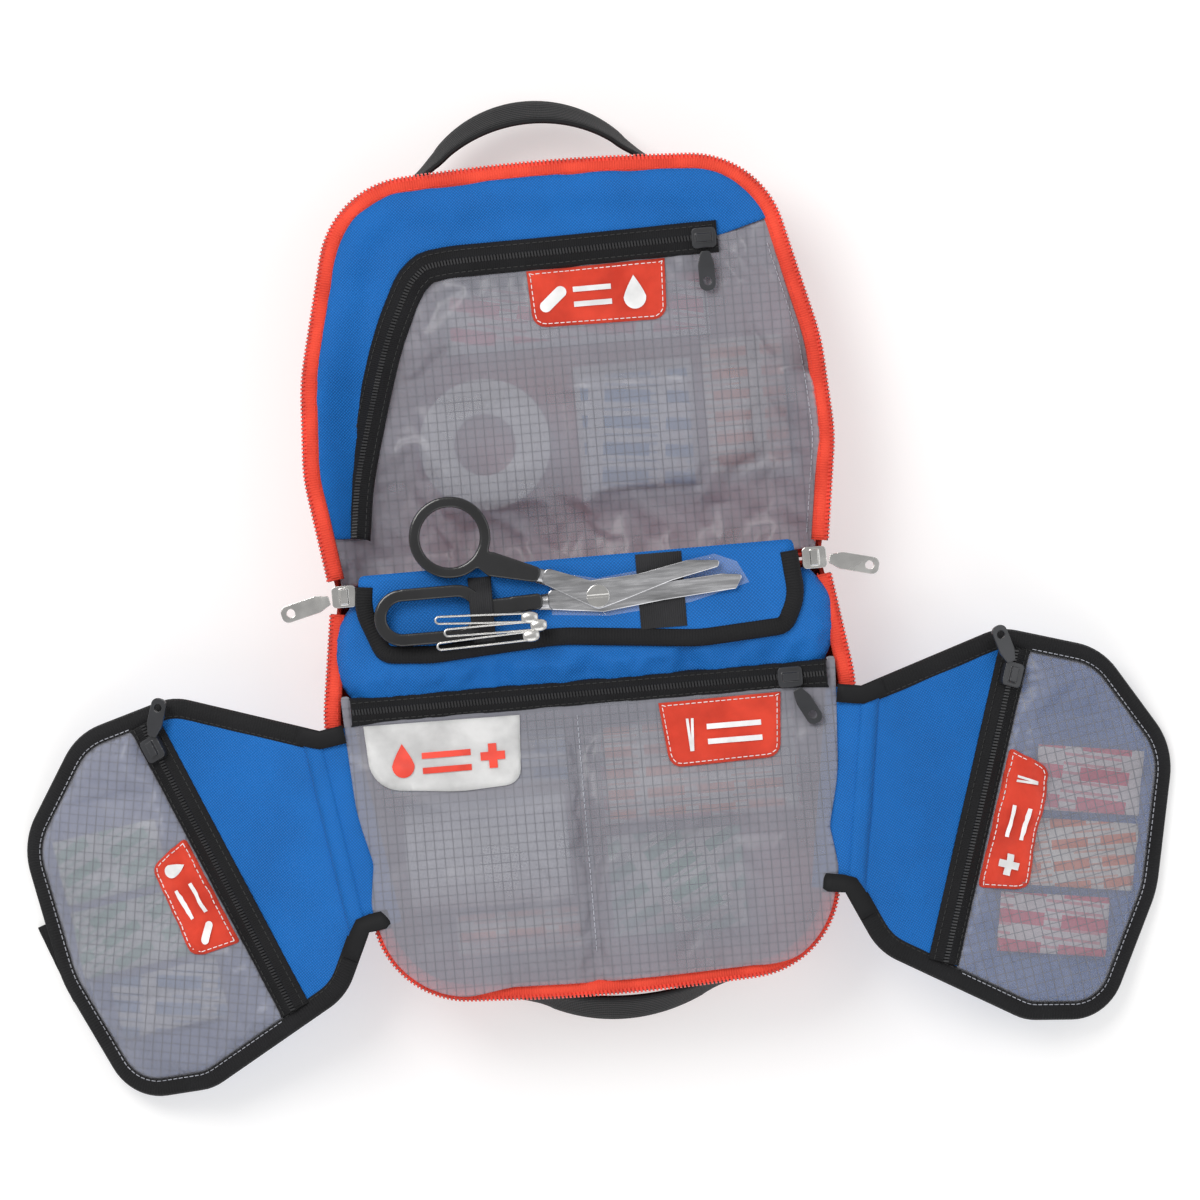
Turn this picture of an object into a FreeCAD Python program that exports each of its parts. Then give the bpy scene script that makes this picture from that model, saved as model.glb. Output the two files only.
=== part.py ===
"""Soft two-shell first aid kit, lying open: base shell, folding lid, tool flap and two side wings.

Millimetres. +X right, +Y from the base towards the lid, +Z up. The origin is the centre of the base
shell's back panel, on the floor. Every piece is drawn about the fold line (y = 0) and then moved by FOLD_Y.
"""
import FreeCAD
import Part
import math
import os
from FreeCAD import Vector as V

# Driving dimensions
SHELL_LENGTH = 150.0      # fold line to far edge of one shell
SHELL_DEPTH = 44.0        # back panel to rim
WALL = 2.0                # shell cloth with its foam
EDGE_ROUND = 11.0         # rounding where walls meet the back panel
FOLD_Y = SHELL_LENGTH / 2
FOLD_Z = SHELL_DEPTH + 2.0
CLOTH = 1.0               # pocket cloth
WEBBING_WIDTH = 19.0
WEBBING_THICK = 1.8
ZIP_RISE = 0.7            # zip tape stands above the cloth beside it

# Heights of the cloth that covers each shell: distance from the fold line, height
LID_COVER = [(3.2, 28), (10, 25), (25, 24.5), (40, 26), (55, 28.5), (69, 29.5),
             (84, 35), (98, 38.5), (113, 39), (126, 39), (138, 41), (149, 42)]
BASE_COVER = [(3.2, 42.5), (9, 45), (21, 45.6), (33, 44.6), (39, 43.6), (47, 43.6), (57, 45.8),
              (66, 48), (80, 49.5), (92, 48.5), (104, 46), (114, 44.8), (126, 44), (138, 42), (149, 39.5)]

# Wings
WING_HINGE = (95.0, -80.0)    # middle of the right wing's fold line
WING_TURN = 8.9               # fold line turned from +Y, degrees
WING_SLOPE = 20.5             # wing falls from the rim to the floor, degrees
WING_PLATE = 1.6
WING_POCKET = 7.0
WING_SPREAD = 1 / math.cos(math.radians(WING_SLOPE))

# Tool flap and shears
FLAP_Z = 49.0
FLAP_THICK = 1.5
TOOL_Z = FLAP_Z + FLAP_THICK + 0.4
HANDLE_THICK = 5.6
BLADE_THICK = 1.6
PIVOT = V(6.3, -7.5, 0)


def rounded(points):
    """Closed wire from (x, y, corner radius) points, at z = 0."""
    corners = [V(p[0], p[1], 0) for p in points]
    count = len(corners)
    edges, ends = [], []
    for i, p in enumerate(points):
        here, before, after = corners[i], corners[i - 1], corners[(i + 1) % count]
        a, b = (before - here).normalize(), (after - here).normalize()
        radius = p[2]
        if radius <= 0:
            ends.append((here, here))
            continue
        half = a.getAngle(b) / 2
        cut = radius / math.tan(half)
        start, end = here + a * cut, here + b * cut
        middle = here + (a + b).normalize() * (radius / math.sin(half) - radius)
        edges.append(Part.Arc(start, middle, end).toShape())
        ends.append((start, end))
    for i in range(count):
        start, end = ends[i][1], ends[(i + 1) % count][0]
        if (end - start).Length > 1e-6:
            edges.append(Part.LineSegment(start, end).toShape())
    return Part.Wire(Part.__sortEdges__(edges))


def prism(points, low, high):
    """Upright solid of a rounded outline between two heights."""
    face = Part.Face(rounded(points))
    face.translate(V(0, 0, low))
    return face.extrude(V(0, 0, high - low))


def offset_prism(wire, distance, low, high):
    """Upright solid of a wire grown (or, if negative, shrunk) by a distance."""
    grown = wire.makeOffset2D(distance) if distance else wire
    face = Part.Face(grown)
    face.translate(V(0, 0, low))
    return face.extrude(V(0, 0, high - low))


def box(x0, x1, y0, y1, z0, z1):
    return Part.makeBox(x1 - x0, y1 - y0, z1 - z0, V(x0, y0, z0))


def cylinder(start, end, radius):
    return Part.makeCylinder(radius, (end - start).Length, start, end - start)


def mirrored(shape, normal):
    return shape.mirror(V(0, 0, 0), normal)


def sheet(heights, sign, low, high, half_width=120.0):
    """Curved sheet that follows a height profile along y: from low to high above the profile."""
    top = [V(-half_width, sign * y, z + high) for y, z in heights]
    bottom = [V(-half_width, sign * y, z + low) for y, z in heights]
    curves = []
    for row in (top, bottom):
        curve = Part.BSplineCurve()
        curve.interpolate(row)
        curves.append(curve.toShape())
    sides = [Part.LineSegment(top[i], bottom[i]).toShape() for i in (0, -1)]
    face = Part.Face(Part.Wire(Part.__sortEdges__(curves + sides)))
    return face.extrude(V(2 * half_width, 0, 0))


def height_at(heights, distance):
    """Height of a cover at a distance from the fold line."""
    for (y0, z0), (y1, z1) in zip(heights, heights[1:]):
        if y0 <= distance <= y1:
            return z0 + (z1 - z0) * (distance - y0) / (y1 - y0)
    raise ValueError("outside the profile")


def only_solid(shape):
    """The biggest solid of a cut, so that no loose sliver is kept."""
    return max(shape.Solids, key=lambda s: s.Volume)


def export(name, *shapes):
    """Write one node, moved so that the base's middle is at the origin."""
    solids = [s for shape in shapes for s in shape.Solids]
    node = solids[0] if len(solids) == 1 else Part.makeCompound(solids)
    node.translate(V(0, FOLD_Y, 0))
    node.exportStep(os.path.join("parts", name + ".step"))


# Outline of one shell, from the fold line to the far edge; the lid is at +y
OUTLINE = [(-89, 0.6, 3), (-95.5, 45, 60), (-93.5, 80, 80), (-77, 148, 33), (0, SHELL_LENGTH + 2, 700),
           (77, 148, 33), (93.5, 80, 80), (95.5, 45, 60), (89, 0.6, 3)]
SHELL_WIRE = {1: rounded(OUTLINE), -1: rounded([(x, -y, r) for x, y, r in OUTLINE])}
NOTCH = [cylinder(V(s * 78.5, 0, FOLD_Z), V(s * 110, 0, FOLD_Z), 7.5) for s in (-1, 1)]


def notched(shape):
    """Leave room for the main sliders at both ends of the fold line."""
    for cutter in NOTCH:
        shape = shape.cut(cutter)
    return only_solid(shape)


def shell(sign):
    """Tray of cloth and foam: back panel with walls all round."""
    outer = offset_prism(SHELL_WIRE[sign], 0, 0, SHELL_DEPTH)
    inner = offset_prism(SHELL_WIRE[sign], -WALL, WALL, SHELL_DEPTH + 1)

    def low_edges(solid, height):
        return [e for e in solid.Edges if abs(e.BoundBox.ZMax - height) < 1e-6
                and abs(e.BoundBox.ZMin - height) < 1e-6 and e.BoundBox.YLength + e.BoundBox.XLength > 4
                and abs(e.BoundBox.Center.y) > 1.5 * WALL]
    try:
        outer = outer.makeFillet(EDGE_ROUND, low_edges(outer, 0))
        inner = inner.makeFillet(EDGE_ROUND - WALL, low_edges(inner, WALL))
    except Part.OCCError:
        print("shell: sharp lower edge kept")
    return notched(outer.cut(inner))


def rim_zip(sign):
    """Tape and coil round the rim, open along the fold line."""
    ring = offset_prism(SHELL_WIRE[sign], 1.6, SHELL_DEPTH - 7, SHELL_DEPTH)
    ring = ring.cut(offset_prism(SHELL_WIRE[sign], 0, 0, SHELL_DEPTH + 1))
    keep = box(-120, 120, 4, 200, 0, 60) if sign > 0 else box(-120, 120, -200, -4, 0, 60)
    return notched(ring.common(keep))


def cover_region(sign):
    """Room inside the walls, seen from above."""
    inside = offset_prism(SHELL_WIRE[sign], -WALL, 0, 80)
    return notched(inside)


# Pocket zip in the lid: up the left side, round a corner and along the top
LID_ZIP = [(-87, 24, 0), (-81, 58, 60), (-55, 125.3, 22), (62, 126.5, 0), (62, 114.5, 0), (-46, 113, 10),
           (-70, 45, 60), (-76, 20, 0)]
LID_WINDOW = [(-90, 4, 0), (-90, 24, 0), (-87, 24, 0), (-76, 20, 0), (-70, 45, 60), (-46, 113, 10), (62, 114.5, 0),
              (62, 127, 0), (72, 122, 4), (79, 105, 20), (86, 60, 30), (89, 4, 0)]


def lid_parts():
    region = cover_region(1)
    window_area = prism(LID_WINDOW, 0, 80)
    zip_area = prism(LID_ZIP, 0, 80)
    cloth = sheet(LID_COVER, 1, -CLOTH, 0).common(region)
    window = only_solid(cloth.common(window_area).cut(zip_area))
    lining = only_solid(cloth.cut(window_area).cut(zip_area))
    tape = only_solid(sheet(LID_COVER, 1, -CLOTH, ZIP_RISE).common(region).common(zip_area))
    label_area = prism([(-10, 111, 0), (41, 111.7, 0), (40, 91.5, 5), (-9, 92, 5)], 0, 80)
    label = sheet(LID_COVER, 1, 0.0, 0.5).common(label_area)
    export("lid_pocket_window", window)
    export("lid_lining", lining)
    export("lid_pocket_zip", tape)
    export("lid_label", label)


def pouch_parts():
    region = cover_region(-1)
    neck_room = [box(84.2, 130, -126, -38, 0, 80), box(-130, -84.2, -126, -38, 0, 80)]
    for room in neck_room:
        region = only_solid(region.cut(room))
    cloth = sheet(BASE_COVER, -1, -CLOTH, 0).common(region)
    top = only_solid(cloth.common(box(-120, 120, -38.2, 0, 0, 80)))
    window = only_solid(cloth.common(box(-120, 120, -160, -47.6, 0, 80)))
    tape = sheet(BASE_COVER, -1, -CLOTH, ZIP_RISE).common(region)
    tape = only_solid(tape.common(box(-120, 120, -47.6, -38.2, 0, 80)))
    white = prism([(-83.5, -50, 0), (-26, -52.5, 0), (-27, -73.5, 6), (-82, -74, 12)], 0, 80)
    red = prism([(25, -51.5, 0), (70, -50.5, 0), (68, -71.5, 5), (27, -72, 5)], 0, 80)
    skin = sheet(BASE_COVER, -1, 0.0, 0.5)
    export("pouch_top_panel", top)
    export("pouch_window", window)
    export("pouch_zip", tape)
    export("pouch_labels", skin.common(white), skin.common(red))
    divider = box(-5.4, -4.2, -138, -50, WALL, 60)
    export("pouch_divider", only_solid(divider.common(sheet(BASE_COVER, -1, -60, -CLOTH)).cut(below_floor())))


def below_floor():
    """Everything under the upper face of the back panel."""
    return box(-120, 120, -200, 200, -90, WALL)


def packet(x0, x1, y0, y1, z0, z1, corner=2.0):
    return prism([(x0, y0, corner), (x1, y0, corner), (x1, y1, corner), (x0, y1, corner)], z0, z1)


def contents():
    """Supplies that lie in the pockets."""
    roll_at = V(-30.7, 51.8, 3)
    roll = cylinder(roll_at, roll_at + V(0, 0, 19), 24.5)
    export("tape_roll", roll.cut(cylinder(roll_at - V(0, 0, 1), roll_at + V(0, 0, 25), 11.4)))
    export("gauze_pads", packet(4, 48, 28, 78, 3, 12), packet(6, 46, 30, 74, 12.2, 21),
           packet(52, 82, 34, 84, 3, 14))
    export("wound_dressing", packet(-42, 56, 86, 110, 3, 16), packet(-40, 54, 88, 109, 16.2, 30))
    gauze_roll = cylinder(V(-72, -98, 24), V(-12, -98, 24), 20)
    export("trauma_dressing", gauze_roll)
    export("bandage_pack", packet(-76, -10, -74, -54, 3, 38), packet(-56, -10, -136, -121, 3, 34))
    export("instrument_pack", packet(2, 76, -92, -54, 3, 20), packet(4, 74, -90, -56, 20.2, 40),
           packet(2, 52, -134, -96, 3, 26))


def handle(sign):
    """Arched webbing handle, its width upright, and the patches that hold it to the wall."""
    reach, rise = (41.0, 24.0) if sign > 0 else (36.0, 9.0)
    middle_x = -5.0 if sign > 0 else 5.0
    foot = SHELL_LENGTH + 3.0
    low = SHELL_DEPTH / 2 - WEBBING_WIDTH / 2
    radius = (reach ** 2 + rise ** 2) / (2 * rise)
    centre = V(middle_x, foot + rise - radius, low)
    band = Part.makeCylinder(radius, WEBBING_WIDTH, centre)
    band = band.cut(Part.makeCylinder(radius - WEBBING_THICK, WEBBING_WIDTH, centre))
    middle_z = SHELL_DEPTH / 2
    side_view = [(foot, 1.5), (foot + 6, WEBBING_WIDTH / 2), (foot + 60, WEBBING_WIDTH / 2)]
    outline = [V(-120, y, middle_z + h) for y, h in side_view]
    outline += [V(-120, y, middle_z - h) for y, h in reversed(side_view)]
    taper = Part.Face(Part.makePolygon(outline + outline[:1])).extrude(V(240, 0, 0))
    band = band.common(taper)
    patches = offset_prism(SHELL_WIRE[1], 0.8, low, low + WEBBING_WIDTH)
    patches = patches.cut(offset_prism(SHELL_WIRE[1], 0, 0, 80))
    patches = patches.common(box(middle_x - reach - 9, middle_x - reach + 9, 100, 200, 0, 80).fuse(
        box(middle_x + reach - 9, middle_x + reach + 9, 100, 200, 0, 80)))
    if sign < 0:
        band, patches = mirrored(band, V(0, 1, 0)), mirrored(patches, V(0, 1, 0))
    prefix = "lid" if sign > 0 else "base"
    export(prefix + "_handle", band)
    export(prefix + "_handle_patches", patches)


def slider_body(length=9.0, width=7.5, height=3.4):
    """Zip slider centred on its origin, standing on z = 0, its bail along x."""
    body = packet(-width / 2, width / 2, -length / 2, length / 2, 0, height, 1.6)
    bail = box(-1.4, 1.4, -2.8, 2.8, height, height + 1.3)
    return body.fuse(bail).removeSplitter()


def pull_tab(length=18.0, width=6.0, thick=1.4):
    """Zip pull that points along -y from its origin, with a hole at the far end."""
    tab = prism([(-1.6, -3.4, 0.8), (1.6, -3.4, 0.8), (width / 2, -8, 2), (width / 2, -length, 2.6),
                 (-width / 2, -length, 2.6), (-width / 2, -8, 2)], 0, thick)
    hole = cylinder(V(0, -length + 3.6, -1), V(0, -length + 3.6, 5), 1.5)
    return tab.cut(hole)


def placed(shape, place, turn=0.0):
    moved = shape.copy()
    moved.rotate(V(0, 0, 0), V(0, 0, 1), turn)
    moved.translate(place)
    return moved


def sliders():
    """Pocket sliders and main sliders, each with its pull."""
    lid_at = V(56, 120.4, height_at(LID_COVER, 120.4) + ZIP_RISE + 0.1)
    export("lid_pocket_slider", placed(slider_body(), lid_at, 90))
    export("lid_pocket_pull", placed(pull_tab(), lid_at + V(0, -1.6, 3.6)))
    pouch_at = V(74, -42.9, height_at(BASE_COVER, 42.9) + ZIP_RISE + 0.1)
    export("pouch_slider", placed(slider_body(), pouch_at, 90))
    export("pouch_pull", placed(pull_tab(), pouch_at + V(0.4, -1.6, 3.6), 28))
    for name, s in (("left", -1), ("right", 1)):
        at = V(s * 86.5, 0, FOLD_Z - 1.4)
        export("main_slider_" + name, placed(slider_body(8, 9, 3.6), at))
        turn = -90 + 14 if s < 0 else 90 - 14
        export("main_pull_" + name, placed(pull_tab(22, 6.4, 1.4), at + V(s * 2, 0, 3.8), turn))


# Wing outline in its own plane: distance out from the fold line, distance along it
def out(s):
    return s * WING_SPREAD


WING_OUTLINE = [(out(0), 31, 0), (out(50), 56, 22), (out(88), 51, 26), (out(117.5), 17, 26),
                (out(115), -36, 40), (out(100), -84, 20), (out(70), -86, 20), (out(14), -64, 24), (out(0), -43, 0)]
NECK_GAP = 0.6


def wing_place(shape, side):
    """From the wing's own plane to its place; the left wing is the right one mirrored."""
    moved = shape.copy()
    moved.rotate(V(0, 0, 0), V(0, 1, 0), WING_SLOPE)
    moved.rotate(V(0, 0, 0), V(0, 0, 1), -WING_TURN)
    moved.translate(V(WING_HINGE[0], WING_HINGE[1], FOLD_Z))
    return mirrored(moved, V(1, 0, 0)) if side == "left" else moved


def wing(side, zip_top, zip_foot, label_s):
    """One pocket wing. zip_top and zip_foot are the zip's middle at the two edges of the wing."""
    wire = rounded(WING_OUTLINE)
    half = WING_PLATE / 2
    panel = offset_prism(wire, 0, -half, half).common(box(NECK_GAP, 200, -120, 120, -5, 5))
    rim = offset_prism(wire, 1.0, -half - 0.9, half + 1.0).cut(offset_prism(wire, -5.0, -5, 5))
    rim = rim.common(box(2.5, 200, -120, 120, -5, 5)).cut(offset_prism(wire, 0, -half, half))
    export(side + "_wing_panel", wing_place(panel, side))
    export(side + "_wing_binding", wing_place(only_solid(rim), side))

    inside = offset_prism(wire, -5.3, 0, 20)
    tape_half = 6.0 * WING_SPREAD
    top, foot = out(zip_top), out(zip_foot)
    tape_area = prism([(top - tape_half, 70, 0), (top + tape_half, 70, 0), (foot + tape_half, -95, 0),
                       (foot - tape_half, -95, 0)], 0, 20)
    pocket_area = prism([(top + tape_half, 70, 0), (150, 70, 0), (150, -95, 0), (foot + tape_half, -95, 0)], 0, 20)
    tape = only_solid(tape_area.common(inside).common(box(0, 200, -120, 120, half, half + 1.4)))
    pocket = only_solid(pocket_area.common(inside).common(box(0, 200, -120, 120, half, half + WING_POCKET)))
    upper = [e for e in pocket.Edges if e.BoundBox.ZMin > half + WING_POCKET - 1e-6]
    try:
        pocket = pocket.makeFillet(4.0, upper)
    except Part.OCCError:
        print(side, "wing pocket: sharp upper edge kept")
    hollow = only_solid(pocket_area.common(offset_prism(wire, -8.5, half, half + WING_POCKET - CLOTH)))
    hollow.translate(V(2.5, 0, 0))
    hollow = hollow.common(offset_prism(wire, -8.5, 0, 20))
    export(side + "_wing_zip", wing_place(tape, side))
    export(side + "_wing_window", wing_place(pocket.cut(hollow), side))

    label = prism([(out(label_s), 12, 0), (out(label_s + 22), 8, 4), (out(label_s + 22), -34, 6),
                   (out(label_s - 4), -38, 0)], half + WING_POCKET, half + WING_POCKET + 0.5)
    export(side + "_wing_label", wing_place(label, side))
    sachets = []
    for x0, x1, y0, y1 in ((66, 106, -9, 15), (62, 106, -37, -12), (56, 97, -62, -40)):
        sachets.append(packet(out(x0), out(x1), y0, y1, half + 0.5, half + 4.5))
    export(side + "_wing_contents", wing_place(Part.makeCompound(sachets), side))

    lean = math.degrees(math.atan2(top - foot, 165))
    at = V(top - (top - foot) * 30 / 165, 40, half + 1.5)
    body = placed(slider_body(), at, -lean)
    pull = placed(pull_tab(), at + V(0, 1.6, 3.6), 180 + 28)
    export(side + "_wing_slider", wing_place(body, side))
    export(side + "_wing_pull", wing_place(pull, side))


def neck(side):
    """Sewn cloth from under the pouch, over the rim, to the wing's fold line."""
    turn = math.radians(WING_TURN)
    along = V(math.sin(turn), math.cos(turn), 0)
    middle = V(WING_HINGE[0] - NECK_GAP, WING_HINGE[1], 0)
    upper, lower = middle + along * 31, middle - along * 43
    strip = prism([(84.4, upper.y + 1, 0), (upper.x, upper.y, 0), (lower.x, lower.y, 0), (84.4, lower.y - 1, 0)],
                  SHELL_DEPTH + 0.1, SHELL_DEPTH + 1.1)
    export(side + "_wing_neck", mirrored(strip, V(1, 0, 0)) if side == "left" else strip)


def tab():
    """Folded webbing tab sewn to the left wing's outer edge, clear of the floor."""
    reach = prism([(out(104), -12, 0), (out(120.3), -14, 1), (out(113.5), -45, 1), (out(100), -43, 0)], -0.6, 0.5)
    piece = only_solid(reach.cut(offset_prism(rounded(WING_OUTLINE), 1.05, -2, 2)))
    export("left_wing_tab", wing_place(piece, "left"))


FLAP = [(-80.5, 7, 2), (-82, -6, 20), (-75, -24.5, 7), (-56, -26, 40), (-9, -23, 80), (42, -28, 60), (75, -26, 7),
        (81, -14, 20), (79, 7.5, 2)]


def flap():
    """Padded cloth flap with bound edges and two elastic loops."""
    wire = rounded(FLAP)
    panel = offset_prism(wire, 0, FLAP_Z, FLAP_Z + FLAP_THICK)
    binding = offset_prism(wire, 0.9, FLAP_Z - 0.4, FLAP_Z + FLAP_THICK + 0.35).cut(offset_prism(wire, -4.8, 0, 80))
    binding = binding.cut(panel).common(box(-120, 120, -60, 1.5, 0, 80))
    export("flap_panel", panel)
    export("flap_binding", only_solid(binding))
    top = TOOL_Z + HANDLE_THICK + 0.3
    low = FLAP_Z + FLAP_THICK
    bridge = box(-40, -32, -19.4, 2.6, low, top + 1.0).cut(box(-41, -31, -18.8, 1.8, low - 1, top))
    flat = box(21, 38, -20.3, 6.5, low, low + 0.35)
    export("tool_loops", bridge, flat)


def oval_ring(centre, half_length, half_width, wall, low, high):
    """Finger hole: an oval ring with round ends."""
    outer = [(centre.x - half_length, centre.y - half_width, half_width - 0.01),
             (centre.x + half_length, centre.y - half_width, half_width - 0.01),
             (centre.x + half_length, centre.y + half_width, half_width - 0.01),
             (centre.x - half_length, centre.y + half_width, half_width - 0.01)]
    wire = rounded(outer)
    return offset_prism(wire, 0, low, high).cut(offset_prism(wire, -wall, low - 1, high + 1))


def shears():
    """Bent shears: each half has a moulded handle and a steel blade on one screw."""
    low, high = TOOL_Z, TOOL_Z + HANDLE_THICK
    mid = TOOL_Z + 2 * BLADE_THICK + 0.1
    blades = {"lower": (TOOL_Z, TOOL_Z + BLADE_THICK), "upper": (TOOL_Z + BLADE_THICK + 0.1, mid)}
    lower_blade = prism([(-12, -11, 2), (8, -13.5, 3), (30, -11, 8), (57, -9, 1), (60, -4, 1), (52, -3, 1),
                         (30, -4.5, 8), (8, -2, 3), (-12, -4, 2)], *blades["lower"])
    upper_blade = prism([(-14, -1, 2), (6, -12.5, 4), (18, -9, 4), (34, -4, 8), (51, -0.5, 1), (52, 2, 1),
                         (40, 3, 6), (22, -0.5, 8), (4, -1.5, 4), (-12, 4.5, 2)], *blades["upper"])
    hole = cylinder(PIVOT + V(0, 0, low - 1), PIVOT + V(0, 0, high + 1), 2.3)
    grip_low = oval_ring(V(-55.5, -9.5, 0), 20.5, 10.5, 4.6, low, high)
    shank_low = prism([(-37, -12.5, 2), (-14, -10.5, 2), (-14, -4.5, 2), (-37, -5.5, 2)], low, high)
    grip_low = grip_low.fuse(shank_low).cut(oval_ring_hole(V(-55.5, -9.5, 0), 15.9, 5.9, low, high)).removeSplitter()
    grip_high = cylinder(V(-46, 18.4, low), V(-46, 18.4, high), 15.0)
    shank_high = prism([(-40, 9.5, 2), (-33, 3.0, 2), (-15.5, -0.8, 2), (-13, 4.2, 2), (-31, 12, 2)], low, high)
    grip_high = grip_high.fuse(shank_high).cut(cylinder(V(-46, 18.4, low - 1), V(-46, 18.4, high + 1), 11.0))
    grip_low = grip_low.cut(prism([(-20, -20, 0), (0, -20, 0), (0, 20, 0), (-20, 20, 0)], 0, mid + 0.1))
    export("shears_lower_blade", lower_blade.cut(hole))
    export("shears_upper_blade", upper_blade.cut(hole))
    export("shears_lower_handle", only_solid(grip_low.cut(lower_blade)))
    export("shears_upper_handle", only_solid(grip_high.removeSplitter().cut(upper_blade)))
    stem = cylinder(PIVOT + V(0, 0, low), PIVOT + V(0, 0, mid + 0.1), 2.25)
    head = cylinder(PIVOT + V(0, 0, mid + 0.1), PIVOT + V(0, 0, mid + 1.3), 4.2)
    slot = box(PIVOT.x - 5, PIVOT.x + 5, PIVOT.y - 0.5, PIVOT.y + 0.5, mid + 0.8, mid + 2)
    export("shears_screw", stem.fuse(head).cut(slot).removeSplitter())


def oval_ring_hole(centre, half_length, half_width, low, high):
    """The room inside a finger hole."""
    return prism([(centre.x - half_length, centre.y - half_width, half_width - 0.01),
                  (centre.x + half_length, centre.y - half_width, half_width - 0.01),
                  (centre.x + half_length, centre.y + half_width, half_width - 0.01),
                  (centre.x - half_length, centre.y + half_width, half_width - 0.01)], low - 1, high + 1)


def safety_pins():
    """Three closed pins in a fan: coil, two wires and a cap each."""
    z = TOOL_Z + HANDLE_THICK + 2.3
    length, gauge = 34.0, 0.5
    pins = []
    for x0, y0, turn in ((-52, -21, 2.0), (-49, -16.3, 0.0), (-52, -11.5, -3.0)):
        coil = Part.makeTorus(1.7, gauge)
        wires = [cylinder(V(0.9, s * 1.2, 0), V(length, s * 1.5, 0), gauge) for s in (-1, 1)]
        cap = packet(length - 2, length + 4, -2.1, 2.1, -0.9, 0.9, 1.5)
        pin = coil.fuse(wires[0]).fuse(wires[1]).fuse(cap)
        pins.append(only_solid(placed(pin, V(x0, y0, z), turn)))
    export("safety_pins", *pins)


def fold_cloth():
    """Strip of cloth sewn to the base's fold wall; the lid's edge is sewn to it."""
    export("fold_cloth", box(-76, 76, -2.4, 0.2, SHELL_DEPTH + 0.05, SHELL_DEPTH + 0.9))


def main():
    os.makedirs("parts", exist_ok=True)
    export("base_shell", shell(-1))
    export("lid_shell", shell(1))
    export("base_rim_zip", rim_zip(-1))
    export("lid_rim_zip", rim_zip(1))
    lid_parts()
    pouch_parts()
    contents()
    handle(1)
    handle(-1)
    sliders()
    wing("left", zip_top=67.5, zip_foot=25.0, label_s=47)
    wing("right", zip_top=58.5, zip_foot=33.0, label_s=49)
    neck("left")
    neck("right")
    tab()
    flap()
    shears()
    safety_pins()
    fold_cloth()


main()
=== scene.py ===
"""Looks of the open first aid kit: cloth, zips, webbing, shears and supplies on the CAD frame."""
import math

import bmesh
import bpy
import numpy as np
from mathutils import Matrix, Vector, geometry, noise
from mathutils.bvhtree import BVHTree


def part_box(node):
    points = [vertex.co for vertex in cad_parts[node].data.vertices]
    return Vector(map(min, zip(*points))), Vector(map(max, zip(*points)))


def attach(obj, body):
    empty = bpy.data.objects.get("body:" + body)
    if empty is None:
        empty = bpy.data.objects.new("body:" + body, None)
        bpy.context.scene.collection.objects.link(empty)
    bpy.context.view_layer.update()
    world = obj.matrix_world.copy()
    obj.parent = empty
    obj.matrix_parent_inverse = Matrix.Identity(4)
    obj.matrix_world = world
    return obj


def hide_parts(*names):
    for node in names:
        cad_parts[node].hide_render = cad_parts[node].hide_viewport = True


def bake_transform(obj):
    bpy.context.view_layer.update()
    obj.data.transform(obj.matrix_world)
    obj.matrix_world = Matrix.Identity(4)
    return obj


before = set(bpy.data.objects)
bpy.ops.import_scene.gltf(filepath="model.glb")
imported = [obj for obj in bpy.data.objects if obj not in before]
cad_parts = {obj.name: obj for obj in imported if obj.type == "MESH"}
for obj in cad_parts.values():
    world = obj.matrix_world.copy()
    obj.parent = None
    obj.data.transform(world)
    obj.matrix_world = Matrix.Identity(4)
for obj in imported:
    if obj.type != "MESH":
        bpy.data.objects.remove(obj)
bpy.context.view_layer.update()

# ---------------------------------------------------------------- sizes, all in millimetres
MM = 0.001
SHELL_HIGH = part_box("base_shell")[1]
FOLD_Y = (SHELL_HIGH.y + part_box("lid_shell")[0].y) / 2 / MM
RIM = SHELL_HIGH.z / MM
FOLD_Z = RIM + 2.0
LID_COVER = [(3.2, 28), (10, 25), (25, 24.5), (40, 26), (55, 28.5), (69, 29.5),
             (84, 35), (98, 38.5), (113, 39), (126, 39), (138, 41), (149, 42)]
BASE_COVER = [(3.2, 42.5), (9, 45), (21, 45.6), (33, 44.6), (39, 43.6), (47, 43.6), (57, 45.8),
              (66, 48), (80, 49.5), (92, 48.5), (104, 46), (114, 44.8), (126, 44), (138, 42),
              (149, 39.5)]
OUTLINE = [(-89, 0.6, 3), (-95.5, 45, 60), (-93.5, 80, 80), (-77, 148, 33), (0, 152, 700),
           (77, 148, 33), (93.5, 80, 80), (95.5, 45, 60), (89, 0.6, 3)]
WING_HINGE = (95.0, -80.0)
WING_TURN = math.radians(8.9)
WING_SLOPE = math.radians(20.5)
SPREAD = 1 / math.cos(WING_SLOPE)
FLAP_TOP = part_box("flap_panel")[1].z / MM
TOOL_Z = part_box("shears_lower_blade")[0].z / MM
HANDLE_TOP = TOOL_Z + 5.6
SLIDER_ROOM = 7.7
DISTANCE = 3.2
UP = Vector((0, 0, 1))
WEAVE_TURN = {"left": 9, "right": -9}

RED = (0.86, 0.055, 0.028)
BLUE = (0.005, 0.135, 0.47)
BLACK = (0.006, 0.006, 0.007)
SOFT_BLACK = (0.02, 0.02, 0.022)
GREY_CLOTH = (0.42, 0.425, 0.49)


def row(x, y, z):
    """A point given about the fold line, in millimetres, as a place in the row frame."""
    return Vector((x * MM, (y + FOLD_Y) * MM, z * MM))


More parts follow.
